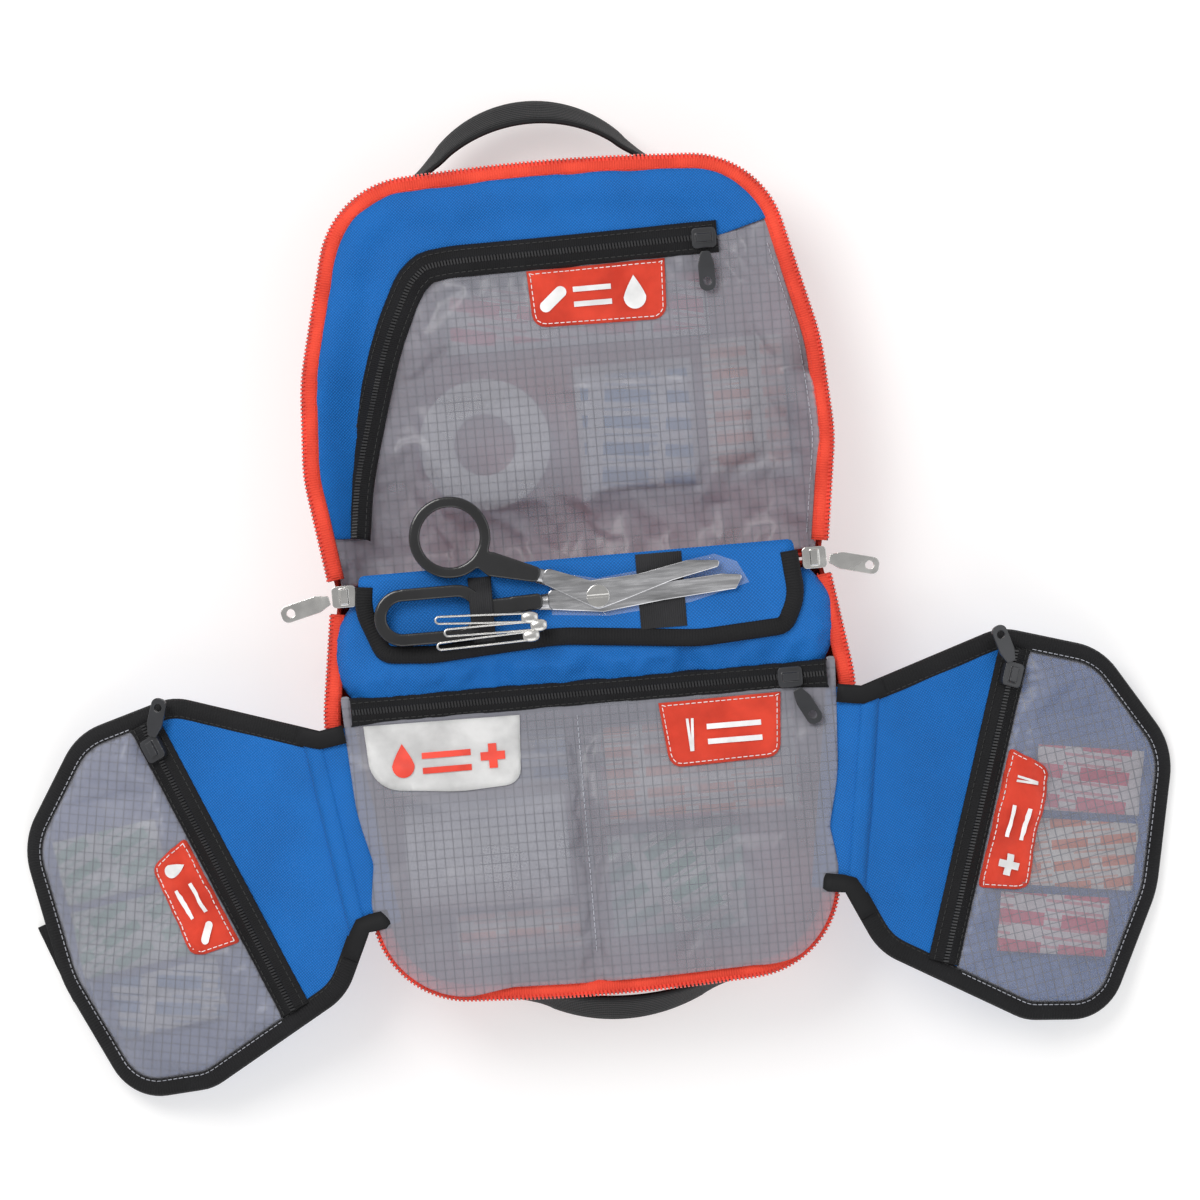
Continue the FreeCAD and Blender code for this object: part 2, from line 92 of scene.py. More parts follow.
def wing_matrix(side):
    """From a wing's own plane (out, along, up) to the row frame."""
    turn = Matrix.Rotation(-WING_TURN, 4, "Z") @ Matrix.Rotation(WING_SLOPE, 4, "Y")
    hinge = Vector((WING_HINGE[0], WING_HINGE[1] + FOLD_Y, FOLD_Z)) * MM
    place = Matrix.Translation(hinge) @ turn
    return Matrix.Scale(-1, 4, (1, 0, 0)) @ place if side == "left" else place


def wing_place(side):
    matrix = wing_matrix(side)
    return lambda p: matrix @ (Vector(p) * MM)


# ---------------------------------------------------------------- outlines
def vectors(*points):
    return [Vector(p) for p in points]


def pairs(line):
    """The sides of a closed line, as pairs of neighbouring points."""
    return zip(line, line[1:] + line[:1])


def rounded(points, step=2.0):
    """Closed line through the corners (x, y, radius), sampled about every step."""
    corners = [Vector(p[:2]) for p in points]
    line = []
    for i, p in enumerate(points):
        here, radius = corners[i], p[2]
        if radius <= 0:
            line.append(here)
            continue
        a = (corners[i - 1] - here).normalized()
        b = (corners[(i + 1) % len(points)] - here).normalized()
        half = a.angle(b) / 2
        cut = radius / math.tan(half)
        centre = here + (a + b).normalized() * (radius / math.sin(half))
        start, end = here + a * cut - centre, here + b * cut - centre
        turn = start.angle_signed(end)
        count = max(2, int(abs(turn) * radius / step) + 1)
        for k in range(count + 1):
            line.append(centre + Matrix.Rotation(-turn * k / count, 2) @ start)
    return resample(line, step, True)


def resample(line, step, closed=False):
    """The same line with points about step apart; corners are kept."""
    out_line = []
    for a, b in pairs(line) if closed else zip(line, line[1:]):
        gap = (b - a).length
        if gap >= 1e-4:
            count = max(1, round(gap / step))
            out_line += [a.lerp(b, k / count) for k in range(count)]
    return out_line if closed else out_line + [line[-1]]


def smooth_line(points, step):
    """Even points along a smooth curve through a few given ones."""
    spline = []
    ends = [points[0] * 2 - points[1]] + list(points) + [points[-1] * 2 - points[-2]]
    for a, b, c, d in zip(ends, ends[1:], ends[2:], ends[3:]):
        count = max(2, int((c - b).length / step))
        for k in range(count):
            t = k / count
            spline.append(0.5 * ((2 * b) + (c - a) * t + (2 * a - 5 * b + 4 * c - d) * t * t
                                 + (3 * b - a - 3 * c + d) * t ** 3))
    return spline + [points[-1]]


def normals(line, closed=True):
    """Unit normals on the right of the line's direction."""
    found = []
    for i in range(len(line)):
        before = line[i - 1] if closed or i else line[i]
        after = line[(i + 1) % len(line)] if closed or i + 1 < len(line) else line[i]
        d = (after - before).normalized()
        found.append(Vector((d.y, -d.x)))
    return found


def offset(line, distance, closed=True):
    """The line moved sideways; positive grows an anticlockwise outline."""
    return [p + n * distance for p, n in zip(line, normals(line, closed))]


def area(line):
    return sum(a.x * b.y - b.x * a.y for a, b in pairs(line)) / 2


def facing(line):
    """1 for an anticlockwise outline, -1 for a clockwise one."""
    return 1 if area(line) > 0 else -1


def grown(line, distance):
    """A closed outline grown by a distance, whichever way round it runs."""
    return offset(line, distance * facing(line))


def shrunk(line, distance):
    """A closed outline moved inwards; points that would cross over are gathered into one."""
    moved = grown(line, -distance)
    good = [edge_distance(p, line) > distance - 0.35 for p in moved]
    count = len(line)
    gathered = list(moved)
    for i in range(count):
        if not good[i]:
            before = next(k for k in range(1, count) if good[i - k])
            after = next(k for k in range(1, count) if good[(i + k) % count])
            gathered[i] = (moved[i - before] + moved[(i + after) % count]) / 2
    return gathered


def inside(p, line):
    hit = False
    for a, b in pairs(line):
        if (a.y > p.y) != (b.y > p.y) and p.x < (b.x - a.x) * (p.y - a.y) / (b.y - a.y) + a.x:
            hit = not hit
    return hit


def clip(line, keep):
    """Part of a closed outline that satisfies keep, as one open run."""
    flags = [keep(p) for p in line]
    start = next(i for i in range(len(line)) if flags[i] and not flags[i - 1])
    run = []
    for k in range(len(line)):
        if not flags[(start + k) % len(line)]:
            break
        run.append(line[(start + k) % len(line)])
    return run


def half_plane(line, a, b):
    """Part of a closed outline on the right of the line from a to b."""
    def side(p):
        return (b.x - a.x) * (p.y - a.y) - (b.y - a.y) * (p.x - a.x)

    kept = []
    for p, q in pairs(line):
        sp, sq = side(p), side(q)
        if sp <= 0:
            kept.append(p)
        if (sp < 0 < sq) or (sq < 0 < sp):
            kept.append(p.lerp(q, sp / (sp - sq)))
    return resample(kept, 2.2, True)


def run_between(line, start, end):
    """The part of a closed outline that runs anticlockwise from near one point to another."""
    line = line if area(line) > 0 else line[::-1]
    i, j = (min(range(len(line)), key=lambda k: (line[k] - Vector(spot)).length)
            for spot in (start, end))
    return [line[(i + k) % len(line)] for k in range((j - i) % len(line) + 1)]


def edge_distance(p, line):
    best = 1e9
    for a, b in pairs(line):
        q, t = geometry.intersect_point_line(p, a, b)
        q = a if t < 0 else b if t > 1 else q
        best = min(best, (p - Vector(q[:2])).length)
    return best


def profile(heights, distance):
    """Smooth height of a cover at a distance from the fold line."""
    xs, zs = zip(*heights)
    return float(np.mean([np.interp(distance + d, xs, zs) for d in (-4, -2, 0, 2, 4)]))


def on_side(line, sign):
    return [Vector((p.x, sign * p.y)) for p in line]


def lift(line, z):
    return [Vector((p.x, p.y, z)) for p in line]


def laid(line, height, rise=0.0):
    """The line placed on a surface given by its height."""
    return [Vector((p.x, p.y, height(p.x, p.y) + rise)) for p in line]


def share_of(value, start, run):
    """0 before start, 1 past start + run, and even between."""
    return min(1, max(0, (value - start) / run))


# ---------------------------------------------------------------- building pieces
def piece(name, points, faces, material, body, place=None, uvs=None, smooth=True):
    """Mesh object from points in millimetres; place maps a point to the row frame."""
    mesh = bpy.data.meshes.new(name)
    place = place or (lambda p: row(*p))
    mesh.from_pydata([place(p) for p in points], [], faces)
    mesh.update()
    if uvs is not None:
        layer = mesh.uv_layers.new(name="UVMap")
        for loop in mesh.loops:
            layer.data[loop.index].uv = uvs[loop.vertex_index]
    bm = bmesh.new()
    bm.from_mesh(mesh)
    bmesh.ops.remove_doubles(bm, verts=bm.verts, dist=1e-6)
    bmesh.ops.recalc_face_normals(bm, faces=bm.faces)
    bm.to_mesh(mesh)
    bm.free()
    mesh.polygons.foreach_set("use_smooth", [smooth] * len(mesh.polygons))
    return linked(name, mesh, material, body)


def linked(name, mesh, material, body):
    obj = bpy.data.objects.new(name, mesh)
    bpy.context.scene.collection.objects.link(obj)
    mesh.materials.append(material)
    if body:
        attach(obj, body)
    return obj


def stand(obj, slot_name, *nodes):
    """Let the piece stand for CAD nodes by hiding them; slot_name is not used."""
    if nodes and nodes[0]:
        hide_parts(*nodes)
    return obj


def modifier(obj, kind, **values):
    m = obj.modifiers.new(kind.lower(), kind)
    for key, value in values.items():
        setattr(m, key, value)
    return m


def thicken(obj, thickness, upward=0.0):
    """Cloth thickness in millimetres; upward 1 puts it all on the outer side."""
    modifier(obj, "SOLIDIFY", thickness=thickness * MM, offset=upward)


def frozen(obj):
    """Apply the modifiers, so that the mesh itself holds the shape."""
    bpy.context.view_layer.update()
    done = obj.evaluated_get(bpy.context.evaluated_depsgraph_get())
    mesh = bpy.data.meshes.new_from_object(done)
    obj.modifiers.clear()
    obj.data = mesh


def patch(outline, height, step=2.5):
    """Triangles that fill an outline, with height(x, y) as z."""
    xs, ys = [p.x for p in outline], [p.y for p in outline]
    points, rise = [Vector(p) for p in outline], step * 0.866
    count = len(outline)
    for j in range(int((max(ys) - min(ys)) / rise) + 1):
        y = min(ys) + (j + 0.5) * rise
        x = min(xs) + (step / 2 if j % 2 else step)
        while x < max(xs):
            p = Vector((x, y))
            if inside(p, outline) and edge_distance(p, outline) > 0.55 * step:
                points.append(p)
            x += step
    edges = [(i, (i + 1) % count) for i in range(count)]
    done = geometry.delaunay_2d_cdt(points, edges, [], 1, 1e-5)
    return [(p.x, p.y, height(p.x, p.y)) for p in done[0]], [tuple(f) for f in done[2]]


def grid_faces(rows, columns, wrap_rows=False, wrap_columns=False):
    """Quads of a grid whose points run along the columns first."""
    faces = []
    for i in range(rows if wrap_rows else rows - 1):
        a, b = i * columns, (i + 1) % rows * columns
        for k in range(columns if wrap_columns else columns - 1):
            m = (k + 1) % columns
            faces.append((a + k, a + m, b + m, b + k))
    return faces


def carried(name, path, section, material, body, place=None, ups=None):
    """A strip or bead made by carrying a section (across, up) along a path."""
    points, uvs, along = [], [], 0.0
    for i, p in enumerate(path):
        before, after = path[max(0, i - 1)], path[min(len(path) - 1, i + 1)]
        d = (after - before).normalized()
        side = d.cross(ups[i] if ups else UP).normalized()
        up = side.cross(d).normalized()
        along += (p - before).length
        wide = 0.0
        for k, (across, rise) in enumerate(section):
            if k:
                wide += math.hypot(across - section[k - 1][0], rise - section[k - 1][1])
            points.append(p + side * across + up * rise)
            uvs.append((along * MM, wide * MM))
    faces = grid_faces(len(path), len(section))
    return piece(name, points, faces, material, body, place, uvs)


def blocks(name, path, pitch, size, material, body, place=None, closed=False, rise=0.0, skew=0.0,
           up=UP):
    """Small bars across a path: zip teeth, or stitches when they run along it."""
    line = list(path) + ([path[0]] if closed else [])
    steps = [(b - a).length for a, b in zip(line, line[1:])]
    reached = np.concatenate([[0], np.cumsum(steps)])
    points, faces = [], []
    across, high, along = size
    ring = [(-1, -0.5), (-0.72, 0.5), (0.72, 0.5), (1, -0.5)]
    for at in np.arange(pitch / 2, reached[-1], pitch):
        i = min(int(np.searchsorted(reached, at, side="right")) - 1, len(steps) - 1)
        if steps[i] < 1e-6:
            continue
        d = (line[i + 1] - line[i]).normalized()
        middle = line[i] + d * (at - reached[i])
        side = d.cross(up).normalized()
        top = side.cross(d).normalized()
        q = len(points)
        for end in (-0.5, 0.5):
            for a, h in ring:
                points.append(middle + side * (a * across / 2) + top * (h * high + rise)
                              + d * (end * along + skew * a))
        faces += [(q, q + 1, q + 2, q + 3), (q + 7, q + 6, q + 5, q + 4)]
        faces += [(q + k, q + 4 + k, q + 4 + (k + 1) % 4, q + (k + 1) % 4) for k in range(4)]
    return piece(name, points, faces, material, body, place, smooth=False)


def round_section(radius, count):
    return [(radius * math.cos(t), radius * math.sin(t))
            for t in np.linspace(0, 2 * math.pi, count + 1)]


def copied(name, node_name, material):
    """A new object with a copy of a CAD node's mesh."""
    mesh = bpy.data.objects[node_name].data.copy()
    mesh.materials.clear()
    return linked(name, mesh, material, None)


def settled(obj, body, node_name, slot_name):
    frozen(obj)
    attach(obj, body)
    stand(obj, slot_name, node_name)


def softened(name, node_name, material, body, slot_name, voxel, passes):
    """The CAD solid's shape with its edges rounded off."""
    obj = copied(name, node_name, material)
    modifier(obj, "REMESH", mode="VOXEL", voxel_size=voxel * MM, use_smooth_shade=True)
    modifier(obj, "SMOOTH", factor=0.5, iterations=passes)
    settled(obj, body, node_name, slot_name)


def bevelled(name, node_name, material, body, width):
    """A hard CAD solid of steel with its edges broken."""
    obj = copied(name, node_name, material)
    bm = bmesh.new()
    bm.from_mesh(obj.data)
    bmesh.ops.remove_doubles(bm, verts=bm.verts, dist=1e-6)
    bmesh.ops.dissolve_limit(bm, angle_limit=math.radians(1), verts=bm.verts, edges=bm.edges)
    bm.to_mesh(obj.data)
    bm.free()
    modifier(obj, "BEVEL", width=width * MM, segments=2, limit_method="ANGLE",
             angle_limit=math.radians(35))
    settled(obj, body, node_name, "blade_steel")


# ---------------------------------------------------------------- cloth
def wrinkle(p, size, depth, seed, stretch=(1, 1)):
    """Soft folds: ridged noise, stretched along one way."""
    q = Vector((p[0] / size * stretch[0], p[1] / size * stretch[1], seed))
    n = noise.noise(q) + 0.5 * noise.noise(q * 2.1)
    return depth * (1 - 2 * abs(n))


def drape(obj, pinned, grow, push, cap, seed):
    """Let a cloth patch, a little too large for its frame, buckle between its sewn edges.

    The patch is simulated ten times its size; cap limits how far a point may move, in mm."""
    mesh, scale, frames = obj.data, 10.0, 22
    rest = [v.co.copy() for v in mesh.vertices]
    centre = sum(rest, Vector()) / len(rest)
    for v in mesh.vertices:
        start = noise.noise(Vector((v.co.x, v.co.y, 0.01 * seed)) * 60)
        nudge = 0 if v.index in pinned else start * 0.4 * MM
        v.co = (v.co - centre + Vector((0, 0, nudge))) * scale
    group = obj.vertex_groups.new(name="sewn")
    group.add(sorted(pinned), 1.0, "REPLACE")
    cloth = modifier(obj, "CLOTH")
    settings = {"quality": 6, "mass": 0.15, "tension_stiffness": 18, "compression_stiffness": 18,
                "shear_stiffness": 8, "bending_stiffness": 0.6, "tension_damping": 8,
                "compression_damping": 8, "air_damping": 2, "vertex_group_mass": "sewn",
                "pin_stiffness": 1, "shrink_min": -grow, "shrink_max": -grow,
                "use_pressure": True, "uniform_pressure_force": push}
    for key, value in settings.items():
        setattr(cloth.settings, key, value)
    cloth.settings.effector_weights.gravity = 0.0
    cloth.collision_settings.use_collision = False
    cloth.point_cache.frame_end = frames
    scene = bpy.context.scene
    for frame in range(1, frames + 1):
        scene.frame_set(frame)
    done = obj.evaluated_get(bpy.context.evaluated_depsgraph_get()).data
    moved = [v.co / scale + centre for v in done.vertices]
    obj.modifiers.remove(cloth)
    scene.frame_set(1)
    for v, a, b in zip(mesh.vertices, rest, moved):
        step = b - a
        limit = cap * MM
        v.co = a + (step if step.length < limit else step.normalized() * limit)
    mesh.update()


def border(obj, also=lambda p: False):
    """Points on a patch's open edge, and others that also() picks, in row millimetres."""
    bm = bmesh.new()
    bm.from_mesh(obj.data)
    found = {v.index for v in bm.verts
             if v.is_boundary or also(Vector((v.co.x / MM, v.co.y / MM - FOLD_Y, v.co.z / MM)))}
    bm.free()
    return found


def surface(obj, matrix=None):
    """Height of a finished cloth above a point, in the same millimetres as its outline."""
    back = (matrix or Matrix.Translation(row(0, 0, 0))).inverted()
    points = [(back @ v.co) / MM for v in obj.data.vertices]
    tree = BVHTree.FromPolygons(points, [tuple(f.vertices) for f in obj.data.polygons])

    def height(x, y):
        hit = tree.ray_cast(Vector((x, y, 200)), Vector((0, 0, -1)))[0]
        if hit is None:
            hit = tree.find_nearest(Vector((x, y, points[0].z)))[0]
        return hit.z

    return height


def keep_below(obj, limit, soft=0.5):
    """Settle what would reach into the things above it, easing in over a little height."""
    for v in obj.data.vertices:
        top = limit(v.co.x / MM, v.co.y / MM - FOLD_Y)
        room = (top - v.co.z / MM) / soft
        if room < 12:
            v.co.z = (top - soft * math.log1p(math.exp(room))) * MM


def declare_sheet(outline):
    """Work out how the piece was cut, its outline's box or a long strip where it is narrow; the
    result is not kept.
    """
    wide = max(p.x for p in outline) - min(p.x for p in outline)
    tall = max(p.y for p in outline) - min(p.y for p in outline)
    flat_area = abs(area(outline)) * 1.03
    if flat_area < 0.35 * wide * tall:
        run = sum((a - b).length for a, b in pairs(outline)) / 2
        wide, tall = run, flat_area / run


def cover(name, outline, height, material, body, node_name, slot_name, step):
    """A pocket's cloth: the outline filled at a height, ready to drape."""
    obj = stand(piece(name, *patch(outline, height, step), material, body), slot_name, node_name)
    declare_sheet(outline)
    return obj


def finish_cloth(obj, thickness=0.35):
    modifier(obj, "SUBSURF", levels=1, render_levels=1)
    thicken(obj, thickness, 0)


# ---------------------------------------------------------------- materials
def tint(colour, factor):
    return tuple(min(1.0, c * factor) for c in colour)


class Look:
    """A Principled material in the making; its methods add nodes and return their sockets."""

    def __init__(self, name, colour, rough, uv=False, turn=0.0, **inputs):
        self.material = bpy.data.materials.new(name)
        self.material.use_nodes = True
        self.tree = self.material.node_tree
        self.sockets = self.tree.nodes["Principled BSDF"].inputs
        for key, value in {"Base Color": colour, "Roughness": rough, **inputs}.items():
            self.feed(self.sockets[key.replace("_", " ")], value)
        self.source = self.node("TexCoord").outputs["UV" if uv else "Object"]
        if turn:
            angle = (0, 0, math.radians(turn))
            self.source = self.node("Mapping", Vector=self.source, Rotation=angle).outputs[0]
        self.x, self.y, self.z = self.node("SeparateXYZ", Vector=self.source).outputs

    def feed(self, socket, value):
        """Link a socket, or set its number, vector or opaque colour."""
        if isinstance(value, bpy.types.NodeSocket):
            self.tree.links.new(value, socket)
        elif isinstance(value, tuple) and len(value) < len(socket.default_value):
            socket.default_value = (*value, 1)
        else:
            socket.default_value = value

    def node(self, kind, **sockets):
        n = self.tree.nodes.new("ShaderNode" + kind)
        for key, value in sockets.items():
            self.feed(n.inputs[key.replace("_", " ")], value)
        return n

    def math(self, operation, a, b=None):
        n = self.node("Math")
        n.operation = operation
        for socket, value in zip(n.inputs, (a, b)):
            if value is not None:
                self.feed(socket, value)
        return n.outputs[0]

    def times(self, a, b):
        return self.math("MULTIPLY", a, b)

    def plus(self, a, b):
        return self.math("ADD", a, b)

    def most(self, a, b):
        return self.math("MAXIMUM", a, b)

    def ridges(self, socket, pitch):
        """0 to 1 ridges across a coordinate in metres, pitch in millimetres."""
        angle = self.times(socket, 2 * math.pi / (pitch * MM))
        return self.plus(self.times(self.math("SINE", angle), 0.5), 0.5)

    def lines(self, socket, pitch, width):
        """1 on thin lines across a coordinate, 0 between them."""
        part = self.math("FRACT", self.math("DIVIDE", socket, pitch * MM))
        return self.math("LESS_THAN", part, width / pitch)

    def mix(self, factor, a, b):
        """Colour a to b by factor; a and b are colours or sockets."""
        n = self.node("Mix")
        n.data_type = "RGBA"
        for i, value in ((0, factor), (6, a), (7, b)):
            self.feed(n.inputs[i], value)
        return n.outputs[2]

    def cloudy(self, scale, low=0.35, high=0.65, source=None):
        """Slow noise from 0 to 1."""
        n = self.node("TexNoise", Vector=source or self.source, Scale=scale, Detail=4)
        return self.node("MapRange", Value=n.outputs[0], From_Min=low, From_Max=high).outputs[0]

    def done(self, height, strength, distance, colour=None):
        """Link the bump and the colour, and give the material."""
        bump = self.node("Bump", Height=height, Strength=strength, Distance=distance * MM)
        self.feed(self.sockets["Normal"], bump.outputs[0])
        if colour:
            self.feed(self.sockets["Base Color"], colour)
        return self.material


def pack_cloth(name, colour, pitch=1.15, turn=0.0, walls=False):
    """Woven pack cloth: a basket weave whose thread crowns carry a painted highlight."""
    k = Look(name, colour, 0.55, turn=turn, Sheen_Weight=0.02, Specular_IOR_Level=0.25)
    x, y = k.x, k.y
    if walls:
        x, y = k.plus(x, y), k.plus(k.math("SUBTRACT", x, y), k.times(k.z, 1.4))
    half_pitch = pitch * MM / 2
    weave = k.times(k.ridges(x, pitch), k.ridges(y, pitch))
    between = k.times(k.ridges(k.plus(x, half_pitch), pitch),
                      k.ridges(k.plus(y, half_pitch), pitch))
    crowns = k.most(weave, between)
    worn = k.mix(k.cloudy(45), tint(colour, 0.68), tint(colour, 0.88))
    # Thread crowns are painted lighter than the cloth between them: a painted highlight on the
    # crowns.
    return k.done(crowns, 0.7, 0.3, k.mix(k.times(crowns, 0.8), worn, tint(colour, 1.55)))


def ripstop(name, turn=0.0, clear=0.56):
    """Thin see-through ripstop with a fine grid of thicker threads."""
    colour = GREY_CLOTH
    k = Look(name, colour, 0.36, turn=turn, Sheen_Weight=0.05, Specular_IOR_Level=0.6)
    fine = k.most(k.lines(k.x, 3.4, 0.42), k.lines(k.y, 3.4, 0.30))
    speck = k.times(k.ridges(k.x, 0.7), k.ridges(k.y, 0.7))
    worn = k.mix(k.cloudy(30), tint(colour, 0.94), tint(colour, 1.07))
    k.feed(k.sockets["Alpha"], k.plus(k.times(fine, clear * 0.5), 1 - clear))
    return k.done(k.plus(fine, k.times(speck, 0.3)), 0.35, 0.12,
                  k.mix(k.times(fine, 0.8), worn, tint(colour, 0.42)))


def ribbed(name, colour, pitch, rough=0.7, across=False):
    """Grosgrain, webbing or zip tape: ribs over its own UVs, with a painted highlight on the rib
    tops.
    """
    k = Look(name, colour, rough, uv=True, Sheen_Weight=0.02, Specular_IOR_Level=0.3)
    first, second = (k.y, k.x) if across else (k.x, k.y)
    ribs = k.ridges(first, pitch)
    threads = k.times(k.ridges(second, pitch * 0.45), 0.4)
    worn = k.mix(k.cloudy(60), tint(colour, 0.8), tint(colour, 1.5))
    # Rib tops are painted paler than the hollows between them: a painted highlight on the ribs.
    rib_highlight_colour = k.mix(k.times(ribs, 0.45), worn, tint(colour, 1.7))
    return k.done(k.plus(ribs, threads), 0.7, 0.2, rib_highlight_colour)


def metal(name, colour, rough, grain=0.0):
    """Plated or brushed metal with faint scratches."""
    k = Look(name, colour, rough, Metallic=1.0)
    stretch = (1, 9, 1) if grain else (1, 1, 1)
    smear = k.node("Mapping", Vector=k.source, Scale=stretch).outputs[0]
    scratch = k.cloudy(160 if grain else 120, 0.3, 0.7, smear)
    polish = k.node("MapRange", Value=scratch, To_Min=max(0.05, rough - 0.08), To_Max=rough + 0.1)
    k.feed(k.sockets["Roughness"], polish.outputs[0])
    colours = None
    if grain:
        streaks = k.cloudy(22, 0.35, 0.62, smear)
        colours = k.mix(streaks, tint(colour, 0.38), tint(colour, 1.15))
    return k.done(scratch, 0.06 + grain, 0.04, colours)


def moulded(name, colour, rough, coat):
    """Moulded plastic, paint or thread with a faint skin texture."""
    k = Look(name, colour, rough, Coat_Weight=coat)
    worn = k.mix(k.cloudy(80), tint(colour, 0.85), tint(colour, 1.25))
    return k.done(k.cloudy(900), 0.15, 0.05, worn)


def printed(name, ground, ink, pitch, angle=0.0):
    """Paper sachet with plain printed bars and blocks."""
    k = Look(name, ground, 0.55, turn=angle)
    bars = k.times(k.lines(k.y, pitch, pitch * 0.45), k.lines(k.x, pitch * 2.3, pitch * 1.7))
    thin = k.times(k.lines(k.y, pitch * 0.31, pitch * 0.1), k.lines(k.x, pitch * 3.1, pitch * 2))
    worn = k.mix(k.cloudy(40), tint(ground, 0.9), ground)
    return k.done(k.cloudy(120), 0.4, 0.4, k.mix(k.most(bars, k.times(thin, 0.6)), worn, ink))


def gauze(name, colour, pitch):
    """Open cotton weave."""
    k = Look(name, colour, 0.85, turn=20, Sheen_Weight=0.2)
    net = k.most(k.lines(k.x, pitch, pitch * 0.5), k.lines(k.y, pitch, pitch * 0.5))
    return k.done(net, 0.5, 0.2, k.mix(net, tint(colour, 0.72), colour))


def film(name):
    """Clear, slightly creased plastic film."""
    k = Look(name, (0.9, 0.92, 0.95), 0.08, Alpha=0.16, Specular_IOR_Level=0.9, Coat_Weight=0.6)
    return k.done(k.cloudy(150), 0.8, 0.8)


BLUE_CLOTH = pack_cloth("blue_cloth", BLUE)
FLAP_CLOTH = pack_cloth("flap_cloth", BLUE, pitch=1.3)
WING_CLOTH = {s: pack_cloth("wing_cloth_" + s, BLUE, turn=t) for s, t in WEAVE_TURN.items()}
SHELL_CLOTH = pack_cloth("shell_cloth", tint(RED, 0.55), pitch=1.7, walls=True)
RIPSTOP = ripstop("ripstop", clear=0.58)
WING_RIPSTOP = {s: ripstop("ripstop_" + s, t, 0.7 if s == "right" else 0.56)
                for s, t in WEAVE_TURN.items()}
RED_TAPE = ribbed("red_tape", RED, 0.9)
RED_COIL = moulded("red_coil", tint(RED, 0.9), 0.4, 0.1)
BLACK_TAPE = ribbed("black_tape", BLACK, 0.8)
BLACK_COIL = moulded("black_coil", SOFT_BLACK, 0.35, 0.2)
GROSGRAIN = ribbed("grosgrain", BLACK, 1.1)
WEBBING = ribbed("webbing", BLACK, 1.6, across=True)
ELASTIC = ribbed("elastic", SOFT_BLACK, 0.8, across=True)
THREAD_GREY = moulded("thread_grey", (0.42, 0.43, 0.48), 0.7, 0)
THREAD_BLACK = moulded("thread_black", (0.03, 0.03, 0.03), 0.7, 0)
LABEL_RED = ribbed("label_red", RED, 0.35, rough=0.45)
LABEL_WHITE = ribbed("label_white", (0.8, 0.8, 0.8), 0.35, rough=0.45)
INK_WHITE = moulded("ink_white", (0.88, 0.88, 0.88), 0.5, 0)
INK_RED = moulded("ink_red", RED, 0.5, 0)
NICKEL = metal("nickel", (0.72, 0.71, 0.69), 0.22)
DARK_METAL = moulded("dark_metal", (0.025, 0.026, 0.03), 0.32, 0.35)
STEEL = metal("steel", (0.66, 0.66, 0.68), 0.24, grain=0.15)
BLACK_PLASTIC = moulded("black_plastic", (0.012, 0.012, 0.013), 0.22, 0.5)
TAPE_WHITE = gauze("tape_white", (0.88, 0.87, 0.84), 0.9)
GAUZE = gauze("gauze", (0.86, 0.86, 0.86), 1.3)
CLEAR_FILM = film("clear_film")
PRINTS = [printed("print_orange", (0.85, 0.83, 0.78), (0.85, 0.22, 0.05), 8),
          printed("print_pink", (0.86, 0.80, 0.80), (0.80, 0.06, 0.12), 11, 12),
          printed("print_green", (0.80, 0.84, 0.80), (0.10, 0.45, 0.25), 9, -28),
          printed("print_blue", (0.82, 0.84, 0.88), (0.06, 0.25, 0.55), 10, 6)]

# ---------------------------------------------------------------- shells and rims
SHELL_LINE = rounded(OUTLINE, 3.0)


def shell(name, sign, body, node_name):
    """Soft tray: back panel, rounded lower edge, walls that bulge and crease a little."""
    base = on_side(SHELL_LINE, sign)
    levels = [(-14, 0.0), (-8, 0.6), (-3.4, 3.4), (-0.6, 8), (0.6, 15), (1.2, 24), (0.8, 33),
              (0.2, 40), (0, RIM)]
    points = []
    for level, (spread, z) in enumerate(levels):
        ring = shrunk(base, -spread) if spread < 0 else grown(base, spread)
        for start, p in zip(base, ring):
            hinge = min(1.0, abs(p.y) / 12)
            at = (start.x * 0.4 + start.y * 0.4, z * 0.5)
            crease = wrinkle(at, 16, 0.55, sign * 3 + 7) * hinge
            keep = 0.0 if level in (0, len(levels) - 1) else crease
            flat = start + (p - start) * (1 if spread < 0 else hinge)
            top = z + (0 if z < 1 else keep * 0.2)
            if abs(flat.x) > 77:
                notch = math.sqrt(max(0.0, SLIDER_ROOM ** 2 - flat.y ** 2))
                top = min(top, FOLD_Z - notch)
            points.append((flat.x, flat.y + sign * keep * 0.3, top))
    faces = grid_faces(len(levels), len(base), wrap_columns=True)
    foot = shrunk(base, 14)
    floor_line = [p for i, p in enumerate(foot) if (p - foot[i - 1]).length > 0.05]
    verts, tris = patch(floor_line, lambda x, y: 0.0, 8.0)
    faces += [tuple(len(points) + k for k in t) for t in tris]
    obj = piece(name, points + verts, faces, SHELL_CLOTH, body)
    bm = bmesh.new()
    bm.from_mesh(obj.data)
    bmesh.ops.remove_doubles(bm, verts=bm.verts, dist=2e-5)
    bmesh.ops.recalc_face_normals(bm, faces=bm.faces)
    bm.to_mesh(obj.data)
    bm.free()
    thicken(obj, 1.6, -1)
    stand(obj, "shell_cloth", node_name)


